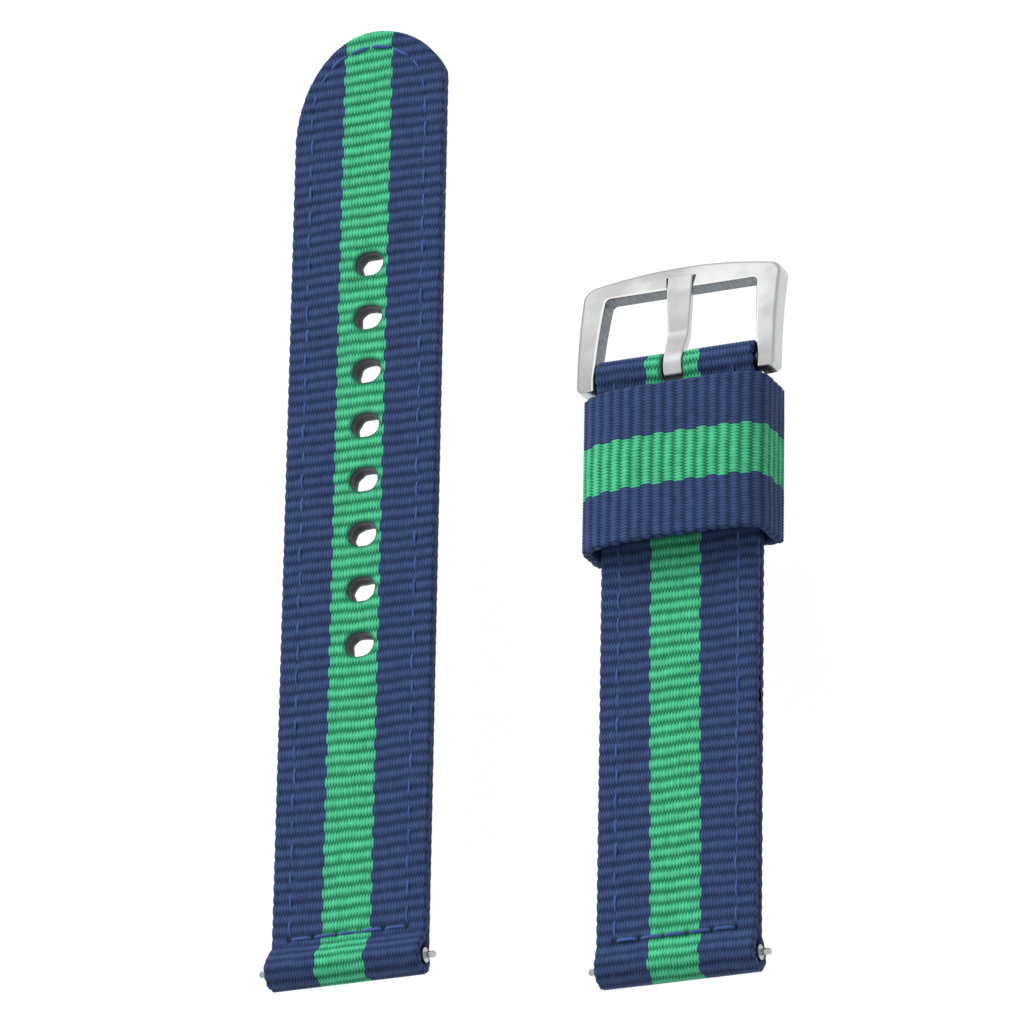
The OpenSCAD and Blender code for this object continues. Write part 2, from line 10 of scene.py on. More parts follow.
import bmesh
import bpy
import numpy as np
from mathutils import Matrix, Vector

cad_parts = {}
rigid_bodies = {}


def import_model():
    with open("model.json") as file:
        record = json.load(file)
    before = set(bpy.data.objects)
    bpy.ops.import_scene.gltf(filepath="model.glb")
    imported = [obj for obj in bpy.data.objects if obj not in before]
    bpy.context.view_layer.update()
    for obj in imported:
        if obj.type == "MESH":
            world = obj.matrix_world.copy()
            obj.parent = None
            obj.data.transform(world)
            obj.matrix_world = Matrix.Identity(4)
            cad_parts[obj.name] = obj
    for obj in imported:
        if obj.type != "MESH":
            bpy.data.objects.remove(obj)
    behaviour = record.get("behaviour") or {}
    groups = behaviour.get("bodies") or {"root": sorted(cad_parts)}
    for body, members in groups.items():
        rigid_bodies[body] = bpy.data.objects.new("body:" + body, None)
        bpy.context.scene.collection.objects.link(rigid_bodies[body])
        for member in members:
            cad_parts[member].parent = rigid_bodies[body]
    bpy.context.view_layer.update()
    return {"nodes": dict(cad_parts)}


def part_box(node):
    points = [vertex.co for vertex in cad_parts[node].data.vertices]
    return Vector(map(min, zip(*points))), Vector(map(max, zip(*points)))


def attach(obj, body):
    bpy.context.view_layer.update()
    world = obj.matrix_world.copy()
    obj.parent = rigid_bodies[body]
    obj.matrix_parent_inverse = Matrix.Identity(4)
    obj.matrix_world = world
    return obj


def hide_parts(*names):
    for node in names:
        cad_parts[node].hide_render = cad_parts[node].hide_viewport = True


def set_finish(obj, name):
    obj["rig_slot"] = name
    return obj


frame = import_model()
MM = 0.001

# The photograph's view: far away through a long lens. Rows are the camera's right, down and forward.
CAMERA_MM = (351.733, -351.672, 803.255)
CAMERA_RIGHT = (0.917469, 0.017092, -0.397441)
CAMERA_DOWN = (-0.132657, -0.928745, -0.346171)
CAMERA_FORWARD = (-0.375038, 0.370325, -0.849827)
LENS_MM = 281.25
SENSOR_MM = 36.0

# Fineness of lines and rounded corners
LAYER_STEP = 0.1
ARC_STEPS = 48
QUARTER_POINTS = 7

# Webbing
PLY = 1.22
PLY_GAP = 0.06
BAR_R = 0.9
LOOP_CLEAR = 0.15
LOOP_MID_R = BAR_R + LOOP_CLEAR + PLY / 2
LOOP_R = BAR_R + LOOP_CLEAR + PLY
PLY_OFFSET = (PLY + PLY_GAP) / 2
STRAP_T = 2 * PLY + PLY_GAP
RIB = 1.374
RIB_DEPTH = 0.19
# Waves that the ribs drift by: size in ribs, turns by u, by s and by the sheet's seed
RIB_DRIFT = ((0.06, 0.23, 0.043, 1.0), (0.03, 0.67, -0.11, 2.1), (0.02, 1.9, 0.37, 3.7))
TICK = 0.39
TEETH = 0.17
EDGE_ROUND = 0.42
SCALLOP = 0.15
RIB_POWER = 2.4
YARN_DIP = 0.65
LIP_REACH = 0.5
LIP_DEPTH = 0.26
STRIPE_W = 6.2
STRIPE_SWING = 0.12
SELVEDGE = 0.6
SCALLOP_LEVEL = 0.7
EDGE_COLUMNS = (0.0, 0.08, 0.25, 0.5, 0.75)
COLUMN_STEP = TICK / 4
ROW_STEP = RIB / 7
HIDDEN_ROW_STEP = RIB / 3
ON_EDGE = 0.02
TURN_IN = 1.2
TURNED_SHADE_HEIGHT = 0.8

# The inner face, which hardly shows
INNER_INSET = 0.9
INNER_CUT_INSET = 0.6
INNER_STEP = 0.7
INNER_HEIGHT = 0.6
INNER_LIFT = 0.01
LONG_INNER_STEP = 1.2
FOLD_INNER_STEP = 0.3
SHORT_INNER_STEP = 0.5
KEEPER_INNER_STEP = 0.4

# Threads
STITCH = 3.1
THREAD_R = 0.15
CROSS_THREAD_R = 0.21
THREAD_SIDES = 12
STRANDS = 3
LAY = 1.1
LAY_DEPTH = 0.10
SEAM_X = 7.5
TOP_SUNK = 0.02
BOBBIN_SUNK = 0.24
STITCH_POINTS = 15
STITCH_SLANT = 0.08
STITCH_SWAY = 0.05
STITCH_DIVE = 0.75
# Where a stitch comes out and goes in, as shares of its length, and the power of its dive
SIDE_STITCH = (0.02, 0.98, 2.2)
CROSS_STITCH = (0.08, 0.92, 4)
# How deep a needle hole draws the weave in, and how dark the painted shade in it is
SIDE_HOLE = (0.1, 0.0)
CROSS_HOLE = (0.35, 0.9)
NEEDLE_R = 0.35
NEEDLE_REACH = 0.9

# Long piece
LONG_RAMP = 3.4
TIP_R = 10.4
TIP_LEFT = 14.0
LOWER_INSET = 0.3
LOWER_STEP = 6.0
LONG_STRIPE_X = -0.2
TIP_INSET = 2.2
LONG_CROSS_Y = 6.05
HOLE_COUNT = 8
HOLE_PITCH = 7.0
FIRST_HOLE = 31.0
HOLE_X = 0.5
HOLE_HALF_GAP = 0.3
HOLE_R = 1.5
HOLE_SIDES = 48
# A hole's melted wall: how far each point lies out from the edge, and how far from the lower or upper face
HOLE_WALL_LOW = (
    (0.1, 0.24), (0.05, 0.2), (-0.1, 0.2), (-0.2, 0.3), (-0.22, 0.6), (-0.18, 1.0), (-0.06, STRAP_T / 2),
)
HOLE_WALL_HIGH = ((-0.05, 0.6), (-0.03, 0.35), (0.0, 0.24), (0.05, 0.2), (0.1, 0.24))
# Its coarse and fine waves, and how much larger they are in the lower layer
HOLE_ROUGH = (0.025, 0.015)
LOWER_ROUGH = 2.5

# Short piece and keeper
SHORT_RAMP = 2.5
BUCKLE_RAMP = 3.0
RISE_LEN = 11.0
SHORT_CROSS_Y = 5.15
BUTT_Y = 34.2
SLOT_X = -0.15
SLOT_W = 2.65
SLOT_BACK = 1.9
SLOT_CORNER = 0.5
SLOT_STEP = 0.25
# The slot's melted wall: how far each point lies out from the edge, and how far below the outer face
SLOT_WALL = ((0.1, 0.24), (0.05, 0.2), (0.0, 0.24), (-0.02, 0.35), (-0.03, 0.6), (-0.03, 1.0), (0.05, PLY))
# Where the stripe strays, how far, and where and how much it widens
STRAY_Y, STRAY_X = (10, 40, 58, 70), (0, -0.37, -0.37, -0.07)
WIDENING_Y, WIDENING = (58, 70), (1, 1.08)
KEEPER_POINTS = 4001
KEEPER_CLEAR = 0.15
KEEPER_WAIST = 3.6
KEEPER_LEFT_POWER = 2.8
KEEPER_RIGHT_POWER = 4.5
KEEPER_FOOT_POWER = 16.0
KEEPER_SEAM_GAP = 0.2
KEEPER_ZIGZAGS = 12
KEEPER_ZIGZAG_REACH = 1.6
KEEPER_ZIGZAG_MARGIN = 1.5

# Buckle frame and tongue
FRAME_T = 2.7
ARM_W = 2.3
ARM_FLARE = 0.7
ARM_TAIL = 1.7
WINDOW_LEN = 10.6
CROSS_W = 3.3
CROSS_BULGE = 1.6
OUTER_CORNER = 1.8
WINDOW_CORNER = 0.6
TAIL_CORNER = 0.8
ARCH_R = 44.0
FRAME_DROOP = 2.0
BEVEL = 0.32
OUTER_BEVEL = 0.5
LEAST_BEVEL = 0.02
BEVEL_ROOM = 1.1
SUPPORT = 0.05
SHARP_ANGLE = 38
ARM_CUTS = 40
CORNER_CUTS = 17
CROSS_CUTS = 61
# A cut through the crossbar leans more than this along the strap
CROSS_LEAN = 1.5
SPLIT_LEAST, SPLIT_MOST = 0.2, 0.8
NOTCH_DEPTH = 0.6
NOTCH_CLEAR = 0.12
NOTCH_END_CLEAR = 0.08
NOTCH_FLOOR_CLEAR = 0.06
NOTCH_WALL = 0.02
NOTCH_SIDE = 0.002
TONGUE_T = 1.0
TONGUE_BEVEL = 0.16
TONGUE_ROOT_W = 2.4
TONGUE_TIP_W = 3.1
TONGUE_LEN = 12.2
TONGUE_DROP_LEN = 5.2
TONGUE_BEND = 9.6
TONGUE_HUMP = 0.35
TONGUE_SLOPE = 0.1
TONGUE_PAST_TIP = 0.6
TONGUE_WIDE_Y = WINDOW_LEN - 0.6
TONGUE_CUT_STEP = 0.15
CURL_Y = 0.4
CURL_END = 348
BARREL_OUT = 1.92

# Light
KEY_PLACE = (-0.95, 0.95, 0.85)
KEY_POWER = 18.0
KEY_SIZE = 1.0
BACK_PLACE = (-0.6, 1.16, 0.92)
BACK_POWER = 0.6
BACK_SIZE = 0.7
FLOOR_Z = -0.014
FLOOR_REACH = 3.0
SKY_BRIGHT_SIDE = (-0.45, 0.4, 0.8)
SKY_LOW = 0.22
SKY_HIGH = 0.8
SKY_SPREAD = (-0.6, 0.9)
FLOOR_PLAIN = (0.8, 0.8, 0.8)
FLOOR_SHADOWED = (0.12, 0.12, 0.12)
FLOOR_GLOW = 0.94
WHITE = (1.0, 1.0, 1.0)

# Colours in linear light. The webbing's deep colours are painted shade for the valleys of its weave.
NAVY = (0.043, 0.074, 0.188)
NAVY_VALLEY_SHADE = (0.013, 0.026, 0.080)
GREEN = (0.086, 0.570, 0.293)
GREEN_VALLEY_SHADE = (0.003, 0.145, 0.062)
THREAD = (0.028, 0.066, 0.230)
THREAD_PALE = (0.078, 0.148, 0.385)
SEALED = (0.013, 0.025, 0.031)
SEALED_PALE = (0.028, 0.045, 0.052)
SEALED_GREEN = (0.005, 0.095, 0.045)
STEEL = (0.665, 0.675, 0.67)
BAR_STEEL = (0.52, 0.53, 0.53)
SMEAR = 0.7
STEEL_EDGE_HIGHLIGHT = (0.93, 0.93, 0.92)
STEEL_RIM_SHADE = (0.40, 0.415, 0.415)
STEEL_SIDE_SHADE = (0.56, 0.575, 0.57)
STEEL_WALL_SHADE = (0.11, 0.13, 0.145)
STEEL_WALL_SHADE_PALE = (0.22, 0.25, 0.26)
STEEL_END_SHADE = (0.035, 0.05, 0.057)

# Finish: roughness, height of the bumps in metres, and how fine the pattern is per metre
NYLON_ROUGH, NYLON_BUMP, NYLON_SPECULAR = 0.5, 0.00006, 0.14
# How fine the webbing's patterns are per millimetre across and per rib
YARNS, PATCHES, FILAMENTS = (1 / TICK, 0.6), (0.3, 0.8), (14.0, 1.6)
MELTED_ROUGH, MELTED_BUMP, MELTED_SCALE = 0.3, 0.00008, 900.0
THREAD_ROUGH, THREAD_BUMP, THREAD_SPECULAR = 0.45, 0.00002, 0.2
FIBRE_SCALE, WORN_SCALE = 4000.0, 250.0
FRAME_ROUGH, FRAME_BRUSH = 0.2, (250.0, 9000.0, 9000.0)
BAR_ROUGH, BAR_BRUSH = 0.16, (300.0, 9000.0, 9000.0)
WIRE_ROUGH, WIRE_BRUSH = 0.3, (4000.0, 4000.0, 4000.0)
STEEL_BUMP, SMEAR_SCALE = 0.000004, 110.0
WALL_STREAKS = (4500.0, 4500.0, 500.0)
# Marks on the steel's points, besides 0 for its faces
WINDOW_WALL, OUTER_WALL, DARK_END = 1.0, -1.0, 2.0


def centre_mm(node):
    low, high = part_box(node)
    return [(a + b) / 2 / MM for a, b in zip(low, high)]


def low_mm(node):
    return [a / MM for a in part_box(node)[0]]


def high_mm(node):
    return [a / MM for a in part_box(node)[1]]


HALF_W = (high_mm("long_webbing")[0] - low_mm("long_webbing")[0]) / 2
LONG_X = centre_mm("long_webbing")[0]
LONG_Y = low_mm("long_webbing")[1]
LONG_LEN = high_mm("long_webbing")[1] - LONG_Y
LONG_MID = STRAP_T / 2
LONG_SEAM_END = LONG_LEN - TIP_INSET - SEAM_X
SHORT_X = centre_mm("short_webbing")[0]
SHORT_Y = low_mm("short_webbing")[1]
SHORT_LEN = high_mm("short_webbing")[1] - SHORT_Y
SHORT_MID = PLY + KEEPER_CLEAR + STRAP_T / 2
BUCKLE_Z = centre_mm("buckle_bar_tube")[2]


# Meshes

def mesh_object(name, verts, faces, body, **attributes):
    """A smooth mesh that rides on a body, from points in millimetres and with values on its points."""
    mesh = bpy.data.meshes.new(name)
    mesh.from_pydata((np.asarray(verts) * MM).tolist(), [], faces, shade_flat=False)
    for key, values in attributes.items():
        values = np.asarray(values, dtype=np.float32)
        kind, field = ("FLOAT_VECTOR", "vector") if values.ndim == 2 else ("FLOAT", "value")
        mesh.attributes.new(key, kind, "POINT").data.foreach_set(field, values.ravel())
    mesh.update()
    obj = bpy.data.objects.new(name, mesh)
    bpy.context.scene.collection.objects.link(obj)
    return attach(obj, body)


def smooth_step(t):
    t = np.clip(t, 0, 1)
    return t * t * (3 - 2 * t)


def knot_height(knots, y):
    """Height at y of a layer that steps smoothly from knot to knot, as in the CAD source."""
    y = np.asarray(y, dtype=float)
    z = np.full_like(y, knots[0][1])
    for (y0, z0), (y1, z1) in zip(knots, knots[1:]):
        z = np.where(y > y0, z0 + (z1 - z0) * smooth_step((y - y0) / (y1 - y0)), z)
    return z


class Track:
    """The outer face of a ribbon in side view, from its centre line: place and outward normal at each s."""

    def __init__(self, line, thick=0.0):
        line = np.asarray(line, dtype=float)
        line = line[np.append(True, np.hypot(*np.diff(line, axis=0).T) > 1e-6)]
        tangent = np.gradient(line, axis=0)
        tangent /= np.linalg.norm(tangent, axis=1)[:, None]
        # The line runs so that the outside is on its right
        self.normal = np.stack([tangent[:, 1], -tangent[:, 0]], axis=1)
        self.face = line + self.normal * thick / 2
        self.s = np.append(0, np.cumsum(np.hypot(*np.diff(self.face, axis=0).T)))
        self.length = self.s[-1]

    def at(self, s, depth):
        """Points (along, up) at s, depth below the outer face."""
        s = np.mod(s, self.length) if np.ndim(s) and (np.min(s) < 0) else s
        along, up, n_along, n_up = (
            np.interp(s, self.s, values) for values in (*self.face.T, *self.normal.T)
        )
        size = np.hypot(n_along, n_up)
        return along - n_along / size * depth, up - n_up / size * depth

    def s_at(self, along, side=1):
        """The s of the point at a place along the strap, on the upper side for 1 and the lower for -1."""
        on = self.normal[:, 1] * side > 0.3
        order = np.argsort(self.face[on, 0])
        return float(np.interp(along, self.face[on, 0][order], self.s[on][order]))


def spaced(start, end, step):
    return np.linspace(start, end, max(1, int(round(abs(end - start) / step))) + 1)


def joined(*stretches):
    """Places along stretches (start, end, step) that follow on from one another."""
    parts = [spaced(*stretch) for stretch in stretches]
    return np.concatenate(parts[:1] + [part[1:] for part in parts[1:]])


def arc_points(y, z, radius, first, last):
    """Points of an arc about (y, z), angles in degrees from +Y towards +Z."""
    angle = np.radians(np.linspace(first, last, ARC_STEPS + 1))
    return np.stack([y + radius * np.cos(angle), z + radius * np.sin(angle)], axis=1)


def layer_points(knots, start, end):
    y = spaced(start, end, LAYER_STEP)
    return np.stack([y, knot_height(knots, y)], axis=1)


# Weave

def weave_height(u, v):
    """Height from 0 to 1 of warp-faced plain weave at rib number v: round ribs, toothed where yarns dive."""
    wave = np.cos(2 * math.pi * u / TICK)
    height = np.zeros_like(v)
    for step in (-1, 0, 1):
        rib = np.floor(v) + step
        sign = np.where(np.mod(rib, 2) < 0.5, 1.0, -1.0)
        t = (v - rib + sign * TEETH * wave) / (1 + 2 * sign * TEETH * wave)
        flank = np.abs(2 * t - 1)
        dip = YARN_DIP * (0.4 + 0.6 * flank) * (1 - np.sqrt(np.clip(0.5 + 0.5 * sign * wave, 0, 1)))
        top = (1 - flank ** RIB_POWER) * (1 - dip)
        height = np.where((t >= 0) & (t <= 1), np.maximum(height, top), height)
    return height


def rib_number(u, s, seed):
    """Ribs counted along s, with a slow drift so that no two lie quite alike."""
    v = s / RIB
    for size, by_u, by_s, by_seed in RIB_DRIFT:
        v = v + size * np.sin(u * by_u + s * by_s + by_seed * seed)
    return v


def gradient(func, u, s):
    step = 1e-4
    return (
        (func(u + step, s) - func(u - step, s)) / (2 * step),
        (func(u, s + step) - func(u, s - step)) / (2 * step),
    )


def snap(func, u, s, points):
    """Moves points of the grid onto the line where func is 0."""
    for _ in range(3):
        d = func(u[points], s[points])
        gu, gs = gradient(func, u[points], s[points])
        size = np.maximum(gu * gu + gs * gs, 1e-6)
        u[points] -= d * gu / size
        s[points] -= d * gs / size


def grid_quads(shape):
    index = np.arange(shape[0] * shape[1]).reshape(shape)
    return np.stack([index[:-1, :-1], index[:-1, 1:], index[1:, 1:], index[1:, :-1]], axis=-1).reshape(-1, 4)


def grid_middles(grid):
    return (grid[:-1, :-1] + grid[1:, 1:]).ravel() / 2


def ring_quads(rings, size, flip=False):
    """Faces between closed rings of size points that follow on from one another."""
    quads = []
    for low in range(0, (rings - 1) * size, size):
        for k in range(size):
            a, b, c, d = low + k, low + (k + 1) % size, low + size + (k + 1) % size, low + size + k
            quads.append((a, d, c, b) if flip else (a, b, c, d))
    return quads


def columns(half):
    """Places across webbing, closer together over its rounded edges."""
    edge = EDGE_ROUND * np.array(EDGE_COLUMNS)
    inner = spaced(EDGE_ROUND - half, half - EDGE_ROUND, COLUMN_STEP)
    return np.concatenate([edge - half, inner, (half - edge)[::-1]])


class Webbing:
    """One woven layer. place(u, s, depth) gives points, edge(u, s) is the distance in from its outline,
    cut(u, s) the distance out from the nearest hole, and across(u, s) the distance from the stripe's middle.
    stitched lists needle holes as (u, s, how deep the weave is drawn in, how dark the painted shade in the
    hole is)."""

    def __init__(self, place, half, edge, cut=None, stitched=(), seed=0.0, across=lambda u, s: u):
        self.place, self.half, self.edge, self.cut = place, half, edge, cut
        self.stitched, self.seed, self.across = stitched, seed, across
        self.verts, self.faces, self.weave, self.seal = [], [], [], []
        self.count = 0

    def add(self, verts, faces, across, v, height, seal):
        """Adds vertices, and faces in the whole mesh's numbers."""
        self.verts.append(verts)
        self.faces.append(faces)
        self.weave.append(np.stack([across, v, height], axis=1))
        self.seal.append(seal)
        self.count += len(verts)

    def outside(self, rows):
        """The outer face with its ribs, and the rounded edges turned on down to the inner face."""
        u, s = np.meshgrid(columns(self.half), rows)
        quads = grid_quads(u.shape)
        mid_u, mid_s = grid_middles(u), grid_middles(s)
        u, s = u.ravel(), s.ravel()
        keep = np.ones(len(quads), dtype=bool)
        for func in [f for f in (self.edge, self.cut) if f]:
            gone = func(mid_u, mid_s) <= 0
            keep &= ~gone
            snap(func, u, s, np.intersect1d(quads[gone], quads[~gone]))
        quads = quads[keep]

        rim = np.clip(self.edge(u, s) / EDGE_ROUND, 0, 1)
        v = rib_number(u, s, self.seed)
        across = self.across(u, s)
        height = weave_height(across, v)
        depth = PLY / 2 * (1 - np.sqrt(1 - (1 - rim) ** 2)) + RIB_DEPTH * (0.5 + 0.5 * rim) * (1 - height)
        seal = np.zeros_like(u)
        if self.cut:
            seal = np.clip(1 - self.cut(u, s) / LIP_REACH, 0, 1)
            depth = depth * (1 - seal ** 2) + LIP_DEPTH * seal ** 2
        # Each needle hole draws the weave in, and its darkness paints shade in it with the sealed colour
        for hole_u, hole_s, down, dark in self.stitched:
            near = np.nonzero((np.abs(u - hole_u) < NEEDLE_REACH) & (np.abs(s - hole_s) < NEEDLE_REACH))[0]
            hollow = np.exp(-((u[near] - hole_u) ** 2 + (s[near] - hole_s) ** 2) / NEEDLE_R ** 2)
            depth[near] += down * hollow
            seal[near] = np.maximum(seal[near], dark * hollow)
        # Ribs stand out at the selvedges, which scallops them
        side = np.clip(1 - (self.half - np.abs(u)) / SELVEDGE, 0, 1) * np.sign(u)
        shown_u = u + SCALLOP * (height - SCALLOP_LEVEL) * side
        self.add(self.place(shown_u, s, depth), quads, across, v, height, seal)

        edges = np.concatenate([quads[:, [i, (i + 1) % 4]] for i in range(4)])
        _, first, uses = np.unique(np.sort(edges, axis=1), axis=0, return_index=True, return_counts=True)
        border = edges[first[uses == 1]]
        border = border[(self.edge(u[border], s[border]) < ON_EDGE).all(axis=1)]
        ids = np.unique(border)
        start, end = np.searchsorted(ids, border).T
        gu, gs = gradient(self.edge, u[ids], s[ids])
        size = np.maximum(np.hypot(gu, gs), 1e-6)
        previous = ids
        turned = [
            (EDGE_ROUND * (1 - math.cos(a)), PLY / 2 * (1 + math.sin(a))) for a in np.radians([30, 60, 90])
        ]
        for inset, down in turned + [(EDGE_ROUND + TURN_IN, PLY)]:
            in_u, in_s = shown_u[ids] + gu / size * inset, s[ids] + gs / size * inset
            verts = self.place(in_u, in_s, np.full(len(ids), down))
            current = self.count + np.arange(len(ids))
            ring = np.stack([previous[end], previous[start], current[start], current[end]], axis=1)
            # Painted shade: the turned edges get a lower weave height, so more of the deep colour
            self.add(verts, ring, across[ids], v[ids], height[ids] * TURNED_SHADE_HEIGHT, seal[ids])
            previous = current
        return self

    def inside(self, rows):
        """The inner face, plain and coarse, as it lies against another layer or a bar."""
        reach = self.half - EDGE_ROUND - INNER_INSET
        u, s = np.meshgrid(spaced(-reach, reach, INNER_STEP), rows)
        mid_u, mid_s = grid_middles(u), grid_middles(s)
        keep = self.edge(mid_u, mid_s) > EDGE_ROUND
        if self.cut:
            keep &= self.cut(mid_u, mid_s) > INNER_CUT_INSET
        quads = grid_quads(u.shape)[keep][:, ::-1]
        u, s = u.ravel(), s.ravel()
        verts = self.place(u, s, np.full_like(u, PLY - INNER_LIFT))
        across, v = self.across(u, s), rib_number(u, s, self.seed)
        self.add(verts, quads + self.count, across, v, np.full_like(u, INNER_HEIGHT), np.zeros_like(u))
        return self

    def finish(self, name, body, node, slot_name="webbing"):
        used, faces = np.unique(np.concatenate(self.faces), return_inverse=True)
        faces = faces.reshape(-1, 4)[:, ::self.turn()].tolist()
        verts, weave, seal = (np.concatenate(parts)[used] for parts in (self.verts, self.weave, self.seal))
        obj = mesh_object(name, verts, faces, body, weave=weave, seal=seal)
        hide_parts(node)
        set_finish(obj, slot_name)

    def turn(self):
        """1 where the grid's faces already look outwards, else -1."""
        corners = [self.verts[0][i] for i in self.faces[0][0][:3]]
        normal = np.cross(corners[1] - corners[0], corners[2] - corners[0])
        one = np.array([0.0]), np.array([self.weave[0][self.faces[0][0][0]][1] * RIB])
        out = self.place(*one, np.array([-1.0])) - self.place(*one, np.array([0.0]))
        return 1 if np.dot(normal, out[0]) > 0 else -1


def strap_place(track, x0, y0):
    def place(u, s, depth):
        y, z = track.at(s, depth)
        return np.stack([x0 + u, y0 + y, z], axis=1)
    return place


# Threads

def tube(path, normal, radius):
    """A laid thread along a path: vertices, faces and how far along each vertex lies."""
    path, normal = np.asarray(path), np.asarray(normal)
    tangent = np.gradient(path, axis=0)
    tangent /= np.linalg.norm(tangent, axis=1)[:, None]
    across = np.cross(tangent, normal)
    across /= np.linalg.norm(across, axis=1)[:, None]
    up = np.cross(across, tangent)
    run = np.append(0, np.cumsum(np.linalg.norm(np.diff(path, axis=0), axis=1)))
    verts = []
    for i, point in enumerate(path):
        for k in range(THREAD_SIDES):
            a = 2 * math.pi * k / THREAD_SIDES
            # The strands wind once in each lay
            r = radius * (1 + LAY_DEPTH * math.cos(STRANDS * (a - 2 * math.pi * run[i] / LAY)))
            verts.append(point + r * (math.cos(a) * across[i] + math.sin(a) * up[i]))
    faces = ring_quads(len(path), THREAD_SIDES)
    faces.append(tuple(range(THREAD_SIDES))[::-1])
    faces.append(tuple(range(len(verts) - THREAD_SIDES, len(verts))))
    return verts, faces, [along for along in run for _ in range(THREAD_SIDES)]


def thread_piece(name, body, node, place, stitches, sunk=TOP_SUNK):
    """The stitches of a seam. Each leaves a needle hole, lies on the webbing and dives into the next."""
    verts, faces, runs = [], [], []
    for i, ((u0, s0), (u1, s1)) in enumerate(stitches):
        crossing = abs(u1 - u0) > abs(s1 - s0)
        # Stitches along the strap sink between the ribs, and those across it lie on top
        first, last, power = CROSS_STITCH if crossing else SIDE_STITCH
        t = np.linspace(first, last, STITCH_POINTS)
        slant = STITCH_SLANT * math.sin(2.4 * i)
        u = u0 + (u1 - u0) * t + slant * np.sin(math.pi * t)
        s = s0 + (s1 - s0) * t
        depth = sunk + STITCH_SWAY * math.sin(3.7 * i) + STITCH_DIVE * np.abs(2 * t - 1) ** power
        path = place(u, s, depth)
        normal = place(u, s, depth - 0.1) - path
        more, quads, run = tube(path, normal, CROSS_THREAD_R if crossing else THREAD_R)
        faces += [tuple(len(verts) + k for k in face) for face in quads]
        verts += more
        runs += run
    obj = mesh_object(name, verts, faces, body, run=runs)
    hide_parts(node)
    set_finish(obj, "thread")


def linked(holes):
    """Needle holes as points (u, s), and the stitches between them."""
    return holes, list(zip(holes, holes[1:]))


def row_of(start, end):
    """A straight row of holes and stitches from start to end."""
    start, end = np.array(start), np.array(end)
    count = max(1, int(round(np.linalg.norm(end - start) / STITCH)))
    return linked([tuple(start + (end - start) * i / count) for i in range(count + 1)])


def chain(rows):
    """Joins rows of holes into one list of holes, with how each draws the weave in, and one of stitches."""
    holes, stitches = [], []
    for row, pairs in rows:
        across = max(s for _, s in row) - min(s for _, s in row) < 1
        holes += [(u, s, *(CROSS_HOLE if across else SIDE_HOLE)) for u, s in row]
        stitches += pairs
    return holes, stitches


# Long piece

LONG_KNOTS = {
    side: [
        (LOOP_R, LOOP_R + side * LOOP_MID_R),
        (LOOP_R + LONG_RAMP, LONG_MID + side * PLY_OFFSET),
        (LONG_LEN, LONG_MID + side * PLY_OFFSET),
    ]
    for side in (1, -1)
}
LONG = Track(np.concatenate([
    layer_points(LONG_KNOTS[1], LONG_LEN, LOOP_R),
    arc_points(LOOP_R, LOOP_R, LOOP_MID_R, 90, 270)[1:],
    layer_points(LONG_KNOTS[-1], LOOP_R, LONG_LEN)[1:],
]), PLY)
HOLES_Y = [LONG_LEN - FIRST_HOLE - HOLE_PITCH * i for i in range(HOLE_COUNT)]


def long_y(s):
    """Distance from the lug fold at s: the ribbon's two ends meet at the tip."""
    return LONG_LEN - np.minimum(s, LONG.length - s)


def long_edge(u, s):
    """The tip is cut a little longer on its left, and the lower layer is a little narrower than the upper."""
    below = smooth_step((s - LONG.length / 2) / LOWER_STEP)
    side = HALF_W - np.abs(u) - LOWER_INSET * below
    reach, radius = np.where(u < 0, TIP_LEFT, TIP_R), np.where(u < 0, HALF_W, TIP_R)
    past = np.maximum(long_y(s) - (LONG_LEN - reach), 0) * radius / reach
    return np.where(past > 0, np.minimum(side, radius - np.hypot(u, past)), side)


def long_cut(u, s):
    """Distance out from the nearest oval hole."""
    past = np.maximum(np.abs(u - HOLE_X) - HOLE_HALF_GAP, 0)
    return np.min([np.hypot(past, long_y(s) - y) for y in HOLES_Y], axis=0) - HOLE_R


def long_seam(side):
    """The closed seam of the long piece, on the upper side for 1 and the lower for -1."""
    def at(u, y):
        return (u, LONG.s_at(y, side))
    turns = np.radians(np.linspace(0, 180, int(round(math.pi * SEAM_X / STITCH)) + 1))
    arc = [at(SEAM_X * math.cos(a), LONG_SEAM_END + SEAM_X * math.sin(a)) for a in turns]
    return chain([
        row_of(at(-SEAM_X, LONG_CROSS_Y), at(-SEAM_X, LONG_SEAM_END)),
        row_of(at(SEAM_X, LONG_CROSS_Y), at(SEAM_X, LONG_SEAM_END)),
        row_of(at(-SEAM_X, LONG_CROSS_Y), at(SEAM_X, LONG_CROSS_Y)),
        linked(arc),
    ])


def long_piece():
    place = strap_place(LONG, LONG_X, LONG_Y)
    top, bottom = long_seam(1), long_seam(-1)
    fold, back = LONG.s_at(LOOP_R + LONG_RAMP), LONG.s_at(LOOP_R, -1)
    rows = joined((0, back, ROW_STEP), (back, LONG.length, HIDDEN_ROW_STEP))
    coarse = joined(
        (0, fold, LONG_INNER_STEP), (fold, back, FOLD_INNER_STEP), (back, LONG.length, LONG_INNER_STEP),
    )
    sheet = Webbing(
        place, HALF_W, long_edge, long_cut, top[0] + bottom[0], seed=0.4,
        across=lambda u, s: u - LONG_STRIPE_X,
    )
    sheet.outside(rows).inside(coarse).finish("long_strap_webbing", "long_strap", "long_webbing")
    thread_piece("long_strap_top_thread", "long_strap", "long_top_thread", place, top[1])
    thread_piece(
        "long_strap_bobbin_thread", "long_strap", "long_bobbin_thread", place, bottom[1], BOBBIN_SUNK,
    )
    for i, y in enumerate(HOLES_Y):
        hole_liner(f"long_strap_hole_{i + 1}", LONG_X + HOLE_X, LONG_Y + y, i)


